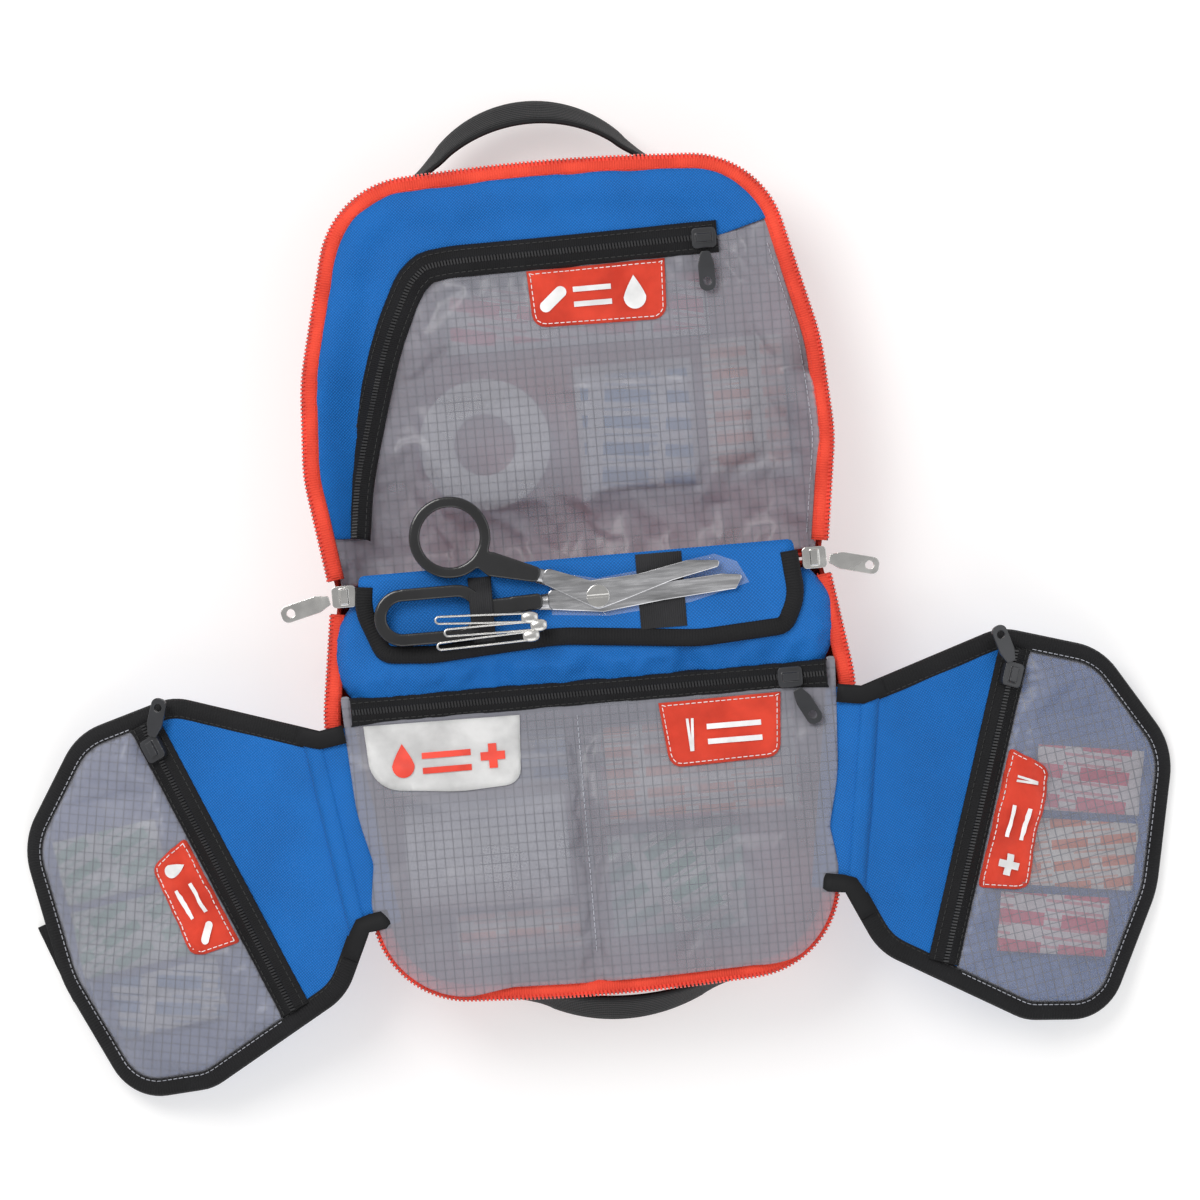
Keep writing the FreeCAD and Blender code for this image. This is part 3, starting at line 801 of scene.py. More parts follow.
def rim(name, sign, body, node_name):
    """Red zip tape rolled over the rim, with its coil on top and a piped seam below."""
    outline = on_side(SHELL_LINE, sign)
    line = clip(outline, lambda p: sign * p.y > 5.0)
    outward = facing(outline)
    section = [(outward * a, z) for a, z in ((-3.6, -2.4), (-3.3, -1.0), (-2.3, -0.1), (-1.0, 0.2),
                                             (0.5, 0.2), (1.4, -0.8), (1.7, -3.0), (1.7, -6.8))]
    obj = carried(name, lift(line, RIM), section, RED_TAPE, body)
    thicken(obj, 0.5, 0)
    stand(obj, "zip_red", node_name)
    teeth = lift(offset(line, outward * 1.5, False), RIM - 0.3)
    blocks(name + "_coil", teeth, 1.45, (2.5, 1.3, 0.8), RED_COIL, body, skew=0.2)
    seam = lift(offset(line, -outward * 2.5, False), RIM + 0.1)
    blocks(name + "_stitches", seam, 2.6, (0.35, 0.3, 1.7), RED_COIL, body)
    foot = lift(offset(line, outward * 1.75, False), RIM - 7.2)
    carried(name + "_piping", foot, round_section(0.7, 8), BLACK_TAPE, body)


def fold_strip():
    """Cloth across the fold, sewn to both shells."""
    section = [(-3.4, -6.0), (-3.0, -1.5), (-1.6, 0.5), (0, 0.9), (1.6, 0.5), (3.0, -1.5),
               (3.4, -6.0)]
    path = [Vector((x, 0, RIM)) for x in np.linspace(-78, 78, 40)]
    obj = carried("fold_strip", path, section, BLUE_CLOTH, None)
    thicken(obj, 0.5)
    stand(obj, "blue_cloth", "fold_cloth")
    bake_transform(obj)


# ---------------------------------------------------------------- zips, labels and stitches
def flat_zip(name, middle, height, body, node_name, place=None, width=12.0, rise=0.5):
    """Zip on a pocket: two tapes, the covered coil between them and stitch rows."""
    path = laid(middle, height, rise)
    half = width / 2
    left = [(-half - 0.6, -0.9 * rise), (-half, -0.2), (-half * 0.9, 0.25), (-2.2, 0.3), (-1.6, 0.9),
            (-0.35, 1.0)]
    section = left + [(0, 0.55)] + [(-a, z) for a, z in left[::-1]]
    obj = carried(name, path, section, BLACK_TAPE, body, place)
    thicken(obj, 0.45, -1)
    stand(obj, "zip_black", node_name)
    blocks(name + "_coil", path, 1.15, (2.6, 0.75, 0.62), BLACK_COIL, body, place, rise=1.05,
           skew=0.15)
    flat = [Vector((p.x, p.y)) for p in path]
    for letter, side in (("a", -1), ("b", 1)):
        aside = offset(flat, side * (half - 1.4), False)
        seam = [Vector((p.x, p.y, q.z)) for p, q in zip(aside, path)]
        blocks(f"{name}_stitches_{letter}", seam, 2.4, (0.3, 0.25, 1.6), THREAD_BLACK, body, place,
               rise=0.4)


def bound_edge(prefix, line, keep, section, z, inset, seam_z, body, place=None):
    """Folded tape over a cloth's cut edge, and the seam along it."""
    edge, sign = clip(line, keep), facing(line)
    shape = [(sign * a, h) for a, h in section]
    tape = carried(prefix + "_binding_tape", lift(edge, z), shape, GROSGRAIN, body, place)
    thicken(tape, 0.4, 0)
    stand(tape, "binding_tape", prefix + "_binding")
    seam = lift(offset(edge, -sign * inset, False), seam_z)
    blocks(prefix + "_binding_stitches", seam, 2.4, (0.3, 0.25, 1.6), THREAD_BLACK, body, place)


def pictogram(kind):
    """Plain symbol, or a bar, as a closed outline in a box 1 wide and 1 high."""
    turn = vectors(*((math.cos(t), math.sin(t))
                     for t in np.linspace(0, 2 * math.pi, 24, endpoint=False)))
    if kind == "cross":
        a = 0.17
        return vectors((-a, -.5), (a, -.5), (a, -a), (.5, -a), (.5, a), (a, a), (a, .5), (-a, .5),
                       (-a, a), (-.5, a), (-.5, -a), (-a, -a))
    if kind == "drop":
        return [Vector((0.32 * p.x * (1 if p.y < 0 else (1 - p.y) ** 0.6),
                        p.y * (0.34 if p.y < 0 else 0.62) - 0.12)) for p in turn]
    if kind == "strip":
        ring = [Vector((p.x * 0.2 + (0.34 if p.x > 0 else -0.34), p.y * 0.2)) for p in turn]
        return [Matrix.Rotation(0.7, 2) @ p for p in ring]
    if kind == "tool":
        return vectors((-.08, -.5), (.08, -.5), (.16, .5), (.05, .5), (0, -.1), (-.05, .5),
                       (-.16, .5))
    return vectors((-.5, -.14), (.5, -.14), (.5, .14), (-.5, .14))


def marks(name, signs, height, ink, body, place=None, turn=0.0):
    """Printed symbols (kind, x, y, width, height) laid on a surface."""
    points, faces = [], []
    for kind, x, y, wide, tall in signs:
        spun = [Matrix.Rotation(turn, 2) @ Vector((p.x * wide, p.y * tall)) + Vector((x, y))
                for p in pictogram(kind)]
        verts, tris = patch(resample(spun, 1.5, True), height, 1.6)
        faces += [tuple(len(points) + k for k in t) for t in tris]
        points += verts
    piece(name, points, faces, ink, body, place)


def edge_stitches(name, line, height, body, material, place=None, rise=0.7, closed=True):
    path = laid(grown(line, -1.2) if closed else line, height)
    blocks(name, path, 2.2, (0.32, 0.25, 1.5), material, body, place, closed=closed, rise=rise)


def label(name, outline, height, material, body, node_name, slot_name, place=None):
    """Satin label: the outline filled just above the surface and thickened."""
    verts, faces = patch(outline, lambda x, y: height(x, y) + 0.4, 2.2)
    obj = piece(name, verts, faces, material, body, place, [(v[0] * MM, v[1] * MM) for v in verts])
    thicken(obj, 0.3, 0)
    stand(obj, slot_name, node_name)


# ---------------------------------------------------------------- pocket covers
ROOM = grown(rounded(OUTLINE, 2.5), -2.3)
LID_ZIP_MIDDLE = vectors((-81.5, 21), (-77.5, 45), (-66, 84), (-56.5, 106), (-50, 115.5),
                         (-40, 119), (0, 119.8), (61, 120.8))
TAPE_ROLL = (-30.7, 51.8)


def lid_height(x, y):
    """The lid's cover sags from its rim into the shell."""
    gap = edge_distance(Vector((x, y)), ROOM) if y > 40 else 90.5 + y / 17 - abs(x)
    rise = profile(LID_COVER, y)
    return rise + max(0.0, RIM - 1.2 - rise) * math.exp(-((max(0.0, gap) / 11) ** 1.6))


def pouch_height(x, y):
    """The pouch swells above the base's rim and rests on it at the sides."""
    side = max(0.0, 1 - (91 - abs(x)) / 16)
    rest = 46.4 if y < -36 else 45.2
    rise = profile(BASE_COVER, -y)
    return rise + (rest - rise) * side ** 1.7


def lid_cover():
    """The lid's blue lining, L-shaped zip, see-through pocket and label."""
    middle = smooth_line(LID_ZIP_MIDDLE, 2.5)
    lining_line = run_between(ROOM, (74, 124), (-90, 22)) + middle
    window_line = run_between(ROOM, (-90, 22), (74, 124)) + middle[::-1]
    window_line = [Vector((p.x, max(p.y, 3.6))) for p in window_line]

    def blue_height(x, y):
        near = edge_distance(Vector((x, y)), ROOM)
        return lid_height(x, y) + 1.0 * math.sin(math.pi * min(1, near / 14)) \
            + wrinkle((x, y), 22, 0.5, 4)

    def window_height(x, y):
        roll = math.hypot(x - TAPE_ROLL[0], y - TAPE_ROLL[1])
        under = 1.2 * math.exp(-((roll - 18) / 7) ** 2)
        block = 1.0 if 8 < x < 46 and 32 < y < 74 else 0.0
        return lid_height(x, y) + under + block * 0.6 \
            + wrinkle((x + y * 0.5, y - x * 0.5), 20, 0.9, 9, (1, 0.45))

    def shut_limit(x, y):
        ceiling = np.interp(y, (30, 44, 66, 74, 84, 98, 108, 140),
                            (45.0, 31.6, 31.0, 35.0, 39.9, 41.0, 42.4, 43.4))
        return float(ceiling) + (0.5 * max(0.0, x) if y < 70 else 0.0)

    lining = cover("lid_blue_lining", resample(lining_line, 2.5, True), blue_height, BLUE_CLOTH,
                   "lid", "lid_lining", "blue_cloth", 3.2)
    finish_cloth(lining, 0.6)
    window = cover("lid_window_cloth", resample(window_line, 2.4, True), window_height, RIPSTOP,
                   "lid", "lid_pocket_window", "ripstop", 2.3)
    held = border(window, lambda p: min((Vector(p[:2]) - q).length for q in middle) < 7.6)
    drape(window, held, grow=0.035, push=0.35, cap=4.0, seed=2)
    keep_below(window, shut_limit)
    cloth_height = surface(window)
    finish_cloth(window)
    flat_zip("lid_zip_tape", middle, lid_height, "lid", "lid_pocket_zip", width=11.0, rise=2.0)
    tag = rounded([(-10, 113.5, 0), (41, 114.2, 0), (40, 92, 5), (-9, 92.6, 5)], 2)
    label("lid_label_cloth", tag, cloth_height, LABEL_RED, "lid", "lid_label", "label_red")
    marks("lid_label_marks", [("strip", -1, 102.5, 11, 11), ("bar", 13.5, 105.5, 14, 7),
                              ("bar", 13.5, 100, 14, 7), ("drop", 29, 102.5, 13, 13)],
          lambda x, y: cloth_height(x, y) + 0.98, INK_WHITE, "lid")
    edge_stitches("lid_label_stitches", tag, cloth_height, "lid", INK_WHITE)
    right = [p for p in grown(ROOM, -3.2) if p.x > 60 and 8 < p.y < 118]
    edge_stitches("lid_window_stitches", sorted(right, key=lambda p: p.y), cloth_height, "lid",
                  THREAD_GREY, rise=0.5, closed=False)


def pouch_front():
    """Outline of the pouch's see-through front: the shell's, drawn in between its corners."""
    front = []
    for p in on_side(rounded(OUTLINE, 2.3), -1):
        if p.y <= -46:
            out_there = share_of(abs(p.x - 8), 46, 14)
            corner = share_of(-p.y, 100, 14) * out_there
            middle = share_of(-p.y, 125, 12) * (1 - out_there)
            inward = 5.0 - 5.8 * corner - 2.4 * middle
            front.append(p + (Vector((0, -75)) - p).normalized() * inward)
    ends = vectors((-91, -36.5), (-87.5, -36.5), (-87.5, -46), (87.5, -46), (87.5, -36.5),
                   (91, -36.5))
    return resample(front + (ends if front[0].x > 0 else ends[::-1]), 2.3, True)


def pouch_cover():
    """The base pouch: puffy blue top, zip, see-through front with a seam, and two labels."""
    top = rounded([(-84, -3.5, 3), (-91, -13, 8), (-91.5, -30, 8), (-86, -39, 0), (86, -39, 0),
                   (91, -30, 8), (91, -13, 8), (84, -3.5, 3)], 2.5)
    front = pouch_front()

    def top_height(x, y):
        return profile(BASE_COVER, -y) + 2.2 * math.sin(math.pi * share_of(-y, 3, 35)) \
            + wrinkle((x, y), 17, 0.8, 12, (1, 0.7)) - 2.5 * max(0, 1 - (88 - abs(x)) / 10) ** 2

    def edge_room(x, y):
        return edge_distance(Vector((x, y)), front) if y < -52 else 91 - abs(x)

    def front_height(x, y):
        seam = math.exp(-((x + 5) / 5) ** 2) * share_of(-y, 47, 15)
        rest = 46.5 if abs(x - 8) > 46 or y > -125 else 45.5
        belly = 1.3 * math.sin(math.pi * max(0.0, min(1, (-y - 47) / 95)))
        full = max(profile(BASE_COVER, -y), 47.0) + belly
        swell = 1 - math.exp(-max(0.0, edge_room(x, y)) / 7)
        return rest + (full - rest) * swell - 2.4 * seam \
            + wrinkle((x - y * 0.6, y + x * 0.6), 19, 0.9 * swell, 20, (1, 0.4))

    def shut_limit(x, y):
        """Room under the zip's pull when open, and under the flap and the lid when shut."""
        ceiling = np.interp(-y, (58, 64, 72, 84, 98, 108, 140),
                            (45.6, 48.2, 48.4, 51.5, 50.2, 48.8, 48.4))
        return min(float(ceiling), 47.0 + 0.12 * max(0.0, edge_room(x, y)))

    cloth = cover("pouch_top_cloth", top, top_height, BLUE_CLOTH, "base", "pouch_top_panel",
                  "blue_cloth", 2.8)
    drape(cloth, border(cloth), grow=0.06, push=0.3, cap=3.5, seed=5)
    keep_below(cloth, lambda x, y: FLAP_TOP - 2.2 if y > -29 else FLAP_TOP, 0.2)
    finish_cloth(cloth, 0.6)
    window = cover("pouch_window_cloth", front, front_height, RIPSTOP, "base", "pouch_window",
                   "ripstop", 2.2)
    held = border(window, lambda p: abs(p.x + 5) < 1.2)
    drape(window, held, grow=0.04, push=0.4, cap=4.5, seed=3)
    keep_below(window, shut_limit)
    cloth_height = surface(window)
    finish_cloth(window)
    zip_middle = [Vector((x, -42.6)) for x in np.linspace(-87.5, 87.5, 74)]
    flat_zip("pouch_zip_tape", zip_middle, pouch_height, "base", "pouch_zip", width=9.5, rise=1.9)

    white = rounded([(-83.5, -48, 0), (-26, -48.5, 0), (-27.5, -73.5, 6), (-50, -74.6, 60),
                     (-82, -71.5, 12)], 2)
    red = rounded([(25, -48.5, 0), (70, -48, 0), (68, -71.5, 5), (27.5, -72.5, 5)], 2)
    lifted = lambda x, y: cloth_height(x, y) + 0.2
    label("pouch_label_white", white, lifted, LABEL_WHITE, "base", "pouch_labels", "label_white")
    label("pouch_label_red", red, lifted, LABEL_RED, "base", None, "label_red")
    sign_height = lambda x, y: lifted(x, y) + 0.98
    marks("pouch_label_red_marks", [("drop", -70, -62, 13, 13), ("bar", -54, -60.5, 18, 8),
                                    ("bar", -54, -66, 18, 8), ("cross", -37, -62.5, 9, 9)],
          sign_height, INK_RED, "base")
    marks("pouch_label_white_marks", [("tool", 36, -61, 9, 12), ("bar", 52, -58.5, 20, 7),
                                      ("bar", 52, -64, 20, 7)], sign_height, INK_WHITE, "base")
    edge_stitches("pouch_label_stitches", red, lifted, "base", INK_WHITE)
    seam = [Vector((-5, y)) for y in np.linspace(-50, -138, 50)]
    edge_stitches("pouch_seam_stitches", seam, cloth_height, "base", THREAD_GREY, rise=0.6,
                  closed=False)
    divider(cloth_height)


def divider(cloth_height):
    """Upright cloth that hangs from the pouch's centre seam and parts its two halves."""
    low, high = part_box("pouch_divider")
    middle_x, near_y, far_y = -4.8, -51.0, -137.0
    foot, columns, levels = low.z / MM + 0.6, 40, 14
    points = []
    for i in range(columns):
        y = near_y + (far_y - near_y) * i / (columns - 1)
        head = cloth_height(middle_x, y) - 1.2
        for k in range(levels):
            sway = 1.3 * math.sin(math.pi * k / (levels - 1)) * math.sin(y * 0.11)
            points.append((middle_x + sway, y, foot + (head - foot) * k / (levels - 1)))
    faces = [(a, d, c, b) for a, b, c, d in grid_faces(columns, levels)]
    obj = piece("pouch_divider_cloth", points, faces, RIPSTOP, "base")
    thicken(obj, 0.35)
    stand(obj, "ripstop", "pouch_divider")


# ---------------------------------------------------------------- tool flap, shears and pins
FLAP = [(-80.5, 7, 2), (-82, -6, 20), (-75, -24.5, 7), (-56, -26, 40), (-9, -23, 80),
        (42, -28, 60), (75, -26, 7), (81, -14, 20), (79, 7.5, 2)]


def band(name, path, width, thick, material, body, ups=None):
    """A woven band with rounded edges."""
    half, t = width / 2, thick / 2
    section = [(-half, 0), (-half + t, t), (-half / 2, t), (0, t), (half / 2, t), (half - t, t),
               (half, 0), (half - t, -t), (0, -t), (-half + t, -t), (-half, 0)]
    return carried(name, path, section, material, body, ups=ups)


def tool_flap():
    """Padded flap over the fold, with its bound edge and two elastic loops."""
    line = rounded(FLAP, 2.2)

    def flap_height(x, y):
        puff = 0.35 * math.sin(math.pi * min(1, edge_distance(Vector((x, y)), line) / 16))
        return FLAP_TOP - 0.25 + puff + wrinkle((x, y), 18, 0.12, 31)

    panel = piece("flap_cloth", *patch(line, flap_height, 2.4), FLAP_CLOTH, "tool_flap")
    thicken(panel, 1.2, -1)
    stand(panel, "blue_cloth", "flap_panel")
    declare_sheet(line)
    section = [(-5.2, 0.45), (-4.9, 0.8), (-2, 0.85), (0.2, 0.6), (0.9, -0.5), (0.2, -1.5),
               (-2, -1.7), (-4.9, -1.6)]
    bound_edge("flap", line, lambda p: p.y < 4.5, section, FLAP_TOP - 0.35, 4.2, FLAP_TOP + 0.5,
               "tool_flap")
    low = FLAP_TOP + 0.25
    side_view = ((-21.5, low), (-18.8, low + 0.6), (-15.5, HANDLE_TOP), (-9, HANDLE_TOP + 0.65),
                 (-4, HANDLE_TOP + 0.4), (0.5, low + 1.6), (2.8, low))
    arch = smooth_line(vectors(*((-36.5, y, z) for y, z in side_view)), 1.2)
    loop = band("tool_loop_high", arch, 8.6, 0.8, ELASTIC, "tool_flap")
    stand(loop, "binding_tape", "tool_loops")
    flat = [Vector((29.5, y, low + 0.1)) for y in np.linspace(-21, 6.5, 16)]
    stand(band("tool_loop_flat", flat, 17, 0.5, ELASTIC, "tool_flap"), "binding_tape")


def shears():
    """Trauma shears in a clear sleeve; the upper half opens."""
    sleeve = vectors((-11, 3), (6.5, -1), (30, 1.5), (50, 4.4), (58, 1), (62, -7), (40, -12.5),
                     (10, -15), (-11, -13))
    film_height = lambda x, y: FLAP_TOP + 0.3 + wrinkle((x, y), 12, 0.08, 3)
    piece("shears_sleeve", *patch(resample(sleeve, 2.5, True), film_height, 2.5), CLEAR_FILM,
          "tool_flap")
    halves = (("lower", "tool_flap", 0.8, [(-26, -9.8), (-6, -11.5), (-6, -4.5), (-26, -6.2)]),
              ("upper", "shears_half", 2.45, [(-24, 2.2), (-7, -4.0), (-6, 1.5), (-23, 7.5)]))
    for half, body, _, _ in halves:
        softened(f"shears_{half}_grip", f"shears_{half}_handle", BLACK_PLASTIC, body,
                 "handle_plastic", 0.4, 18)
    for half, body, _, _ in halves:
        bevelled(f"shears_{half}_steel", f"shears_{half}_blade", STEEL, body, 0.35)
    for half, body, rise, corners in halves:
        mesh = patch(resample(vectors(*corners), 2, True), lambda x, y: TOOL_Z + rise, 2.5)
        tang = piece(f"shears_{half}_tang", *mesh, STEEL, body)
        thicken(tang, 1.2, 0)
        stand(tang, "blade_steel")
    bevelled("shears_screw_head", "shears_screw", NICKEL, "tool_flap", 0.2)


def pins():
    """Three closed safety pins: one wire with its coil, and a pressed cap."""
    z = HANDLE_TOP + 2.3
    shank = [(32, -1.5), (16, -1.45), (2, -1.3)]
    coil = [(-0.2 - 1.5 * math.sin(t), -1.3 * math.cos(t))
            for t in np.linspace(0.2, math.pi - 0.2, 9)]
    wire = shank + coil + [(a, -b) for a, b in shank[::-1]]
    rings, count = 9, 14
    for k, (x0, y0, turn) in enumerate(((-52, -21, 2.0), (-49, -16.3, 0.0), (-52, -11.5, -3.0)), 1):
        spin = Matrix.Rotation(math.radians(turn), 2)
        path = lift([spin @ p + Vector((x0, y0)) for p in vectors(*wire)], z)
        obj = carried(f"safety_pin_{k}", resample(path, 1.5), round_section(0.425, 8), NICKEL,
                      "tool_flap")
        stand(obj, "nickel", "safety_pins" if k == 1 else None)
        middle = spin @ Vector((32.8, 0)) + Vector((x0, y0))
        points = []
        for i in range(rings):
            a = math.pi * i / (rings - 1)
            for j in range(count):
                b = 2 * math.pi * j / count
                full = math.sin(a) ** 0.7
                at = spin @ Vector((3.2 * math.cos(a), 2.3 * full * math.cos(b)))
                points.append((middle.x + at.x, middle.y + at.y, z + full * math.sin(b)))
        cap = piece(f"safety_pin_cap_{k}", points, grid_faces(rings, count, wrap_columns=True),
                    NICKEL, "tool_flap")
        stand(cap, "nickel")


# ---------------------------------------------------------------- supplies
def sachet(name, span, material, body, node_name, slot_name, place=None, crimp=3.0, seed=1,
           ceiling=None):
    """Sealed packet that fills a span (x0, x1, y0, y1, z0, z1): a pillow with crimped ends."""
    x0, x1, y0, y1, z0, z1 = span
    nx, ny = max(8, int((x1 - x0) / 2)), max(8, int((y1 - y0) / 2))
    middle, half = (z0 + z1) / 2, (z1 - z0) / 2
    points = []
    for face in (1, -1):
        for j in range(ny + 1):
            for i in range(nx + 1):
                x, y = x0 + (x1 - x0) * i / nx, y0 + (y1 - y0) * j / ny
                d = min(x - x0, x1 - x, y - y0, y1 - y)
                fat = math.sin(math.pi / 2 * min(1, max(0, d - crimp) / (0.9 * half + 4))) ** 0.7
                crumple = wrinkle((x, y), 14, 0.09 * half + 0.12, seed) * (0.3 + fat)
                z = middle + face * (0.12 + (half - 0.5) * fat) + crumple
                if ceiling:
                    z = min(z, ceiling(x, y) - (1.2 if face > 0 else 1.6))
                points.append((x, y, z))
    upper = grid_faces(ny + 1, nx + 1)
    size = (nx + 1) * (ny + 1)
    faces = upper + [tuple(size + k for k in f[::-1]) for f in upper]
    ring = list(range(nx + 1)) + [(j + 1) * (nx + 1) - 1 for j in range(1, ny + 1)]
    ring += [ny * (nx + 1) + i for i in range(nx - 1, -1, -1)]
    ring += [j * (nx + 1) for j in range(ny - 1, 0, -1)]
    faces += [(a, size + a, size + b, b) for a, b in pairs(ring)]
    obj = stand(piece(name, points, faces, material, body, place), slot_name, node_name)


def lathe(name, centre, profile_line, material, body, node_name, along_x=False):
    """Turned dressing about an upright axis, or about an axis along x."""
    count, points = 56, []
    for i in range(count):
        a = 2 * math.pi * i / count
        for r, h in profile_line:
            spot = (r * math.cos(a), r * math.sin(a))
            spot = (h, *spot) if along_x else (*spot, h)
            points.append(tuple(c + s for c, s in zip(centre, spot)))
    faces = grid_faces(count, len(profile_line), wrap_rows=True, wrap_columns=True)
    stand(piece(name, points, faces, material, body), "dressing_white", node_name)


def supplies():
    """What the two large pockets hold."""
    winding = [(11.6, 0.3)] + [(12 + 0.5 * k, 0.15 * (k % 2)) for k in range(24)]
    winding += [(24.3, 0.6), (24.5, 10), (24.3, 18.4)]
    winding += [(24 - 0.5 * k, 18.9 - 0.25 * (k % 2)) for k in range(24)] + [(11.5, 18.5), (11.4, 9)]
    lathe("tape_roll_winding", (*TAPE_ROLL, 3), winding, TAPE_WHITE, "lid", "tape_roll")
    roll = [(0.5, 0)] + [(1 + 0.8 * k, 0.5 * (k % 2)) for k in range(23)]
    roll += [(19.8, 1.5), (20, 30), (19.8, 58.5)]
    roll += [(19.4 - 0.8 * k, 60 - 0.5 * (k % 2)) for k in range(23)] + [(0.5, 60)]
    lathe("trauma_dressing_roll", (-72, -98, 24), roll, GAUZE, "base", "trauma_dressing", True)
    orange, pink, green, blue = PRINTS
    packets = [("gauze_pad_lower", (4, 48, 28, 78, 3, 12), GAUZE, "lid", "gauze_pads"),
               ("gauze_pad_upper", (6, 46, 30, 74, 12.2, 21), blue, "lid", None),
               ("gauze_pad_side", (52, 82, 34, 84, 3, 14), orange, "lid", None),
               ("wound_pack_lower", (-42, 56, 86, 110, 3, 16), GAUZE, "lid", "wound_dressing"),
               ("wound_pack_upper", (-40, 54, 88, 109, 16.2, 30), pink, "lid", None),
               ("bandage_pack_top", (-76, -10, -74, -54, 3, 38), blue, "base", "bandage_pack"),
               ("bandage_pack_foot", (-56, -10, -136, -121, 3, 34), orange, "base", None),
               ("instrument_pack_low", (2, 76, -92, -54, 3, 20), pink, "base", "instrument_pack"),
               ("instrument_pack_high", (4, 74, -90, -56, 20.2, 40), orange, "base", None),
               ("instrument_pack_foot", (2, 52, -134, -96, 3, 26), green, "base", None)]
    for k, (name, span, material, body, node_name) in enumerate(packets, 1):
        slot_name = "dressing_white" if material == GAUZE else "packet_print"
        sachet(name, span, material, body, node_name, slot_name, seed=k)


# ---------------------------------------------------------------- wings
def out(distance):
    return distance * SPREAD


WING_OUTLINE = [(out(0), 31, 0), (out(50), 56, 22), (out(88), 51, 26), (out(117.5), 17, 26),
                (out(115), -36, 40), (out(100), -84, 20), (out(70), -86, 20), (out(14), -64, 24),
                (out(0), -43, 0)]
WING_HALF = 0.8
WING_PACKETS = [(66, 106, -9, 15), (62, 106, -37, -12), (56, 97, -62, -40)]
WING_PRINTS = {"left": (PRINTS[2], PRINTS[2], PRINTS[3]),
               "right": (PRINTS[1], PRINTS[0], PRINTS[1])}
WING_SIGNS = {"left": ("drop", "strip"), "right": ("tool", "cross")}


def wing(side, zip_top, zip_foot, label_span, seed):
    """A wing's bound panel with its see-through pocket, slanting zip, label and packets."""
    body, place = side + "_wing", wing_place(side)
    line = rounded(WING_OUTLINE, 2.3)

    def flat_height(x, y):
        d = edge_distance(Vector((x, y)), line)
        return WING_HALF - 0.15 + 0.5 * math.sin(math.pi / 2 * min(1, d / 14)) \
            + wrinkle((x, y), 24, 0.35, seed)

    top, foot = Vector((out(zip_top), 70)), Vector((out(zip_foot), -95))
    lean = (top - foot).normalized()
    aside = Vector((lean.y, -lean.x))
    panel = piece(body + "_cloth", *patch(line, flat_height, 3.0), WING_CLOTH[side], body, place)
    thicken(panel, 1.4, -1)
    stand(panel, "blue_cloth", body + "_panel")
    declare_sheet(line)
    section = [(-6.2, 0.75), (-5.9, 1.2), (-2, 1.4), (0.3, 0.9), (1.0, 0), (0.3, -1.1),
               (-2, -1.55), (-5.9, -1.5)]
    bound_edge(body, line, lambda p: p.x > 2.5, section, 0, 5.2, 1.35, body, place)

    region = half_plane(grown(line, -5.6), foot + aside * 5.4, top + aside * 5.4)

    def pillow(x, y):
        swell = 1 - math.exp(-edge_distance(Vector((x, y)), region) / 5)
        filled = out(62) < x < out(104) and y > -62
        packets = max(0.0, 1 - abs((y + 24) % 25 - 12.5) / 12.5) ** 0.3 if filled else 0.0
        return WING_HALF + 0.5 + 5.3 * swell * (0.75 + 0.25 * packets) \
            + wrinkle((x * 0.8 + y * 0.5, y - x * 0.5), 21, 0.9 * swell, seed + 3, (1, 0.5))

    window = piece(body + "_window_cloth", *patch(region, pillow, 2.3), WING_RIPSTOP[side], None,
                   place)
    drape(window, border(window), grow=0.03, push=0.3, cap=3.0, seed=seed)
    cloth_height = surface(window, wing_matrix(side))
    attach(window, body)
    finish_cloth(window)
    stand(window, "ripstop", body + "_window")
    declare_sheet(region)
    free_edge = clip(region, lambda p: (p - foot).dot(aside) > 6.2)
    seam = lift(offset(free_edge, 1.0 * facing(line), False), 1.55)
    blocks(body + "_window_stitches", seam, 2.2, (0.32, 0.3, 1.5), THREAD_GREY, body, place)

    room = grown(line, -4.2)
    span = [p for p in (foot.lerp(top, k / 90) for k in range(91)) if inside(p, room)]
    flat_zip(body + "_zip_tape", span, lambda x, y: WING_HALF + 0.75, body, body + "_zip", place,
             width=11.5)

    start, end = (foot.lerp(top, (y + 95) / 165) for y in label_span)
    tag = rounded([(*(start + aside * 6.2), 1), (*(start + aside * 21.5 - lean * 4), 5),
                   (*(end + aside * 23.5 + lean * 3), 5), (*(end + aside * 6.2), 1)], 2)
    raised = lambda x, y: cloth_height(x, y) + 0.1
    label(body + "_label_cloth", tag, raised, LABEL_RED, body, body + "_label", "label_red", place)
    first, last = WING_SIGNS[side]
    signs = []
    for kind, share, across, wide, tall in ((first, 0.2, 14, 8, 8), ("bar", 0.5, 11.5, 12, 5),
                                            ("bar", 0.5, 17, 12, 5), (last, 0.8, 14.5, 8, 8)):
        spot = start.lerp(end, share) + aside * across
        signs.append((kind, spot.x, spot.y, wide, tall))
    marks(body + "_label_marks", signs, lambda x, y: raised(x, y) + 1.15, INK_WHITE, body, place,
          turn=math.atan2(lean.y, lean.x))
    edge_stitches(body + "_label_stitches", tag, raised, body, INK_WHITE, place)

    for k, (x0, x1, y0, y1) in enumerate(WING_PACKETS):
        sachet(f"{body}_sachet_{k + 1}",
               (out(x0), out(x1), y0, y1, WING_HALF + 0.9, WING_HALF + 4.6), WING_PRINTS[side][k],
               body, None if k else body + "_contents", "packet_print", place, crimp=1.5,
               seed=seed + k, ceiling=cloth_height)
    neck(side)


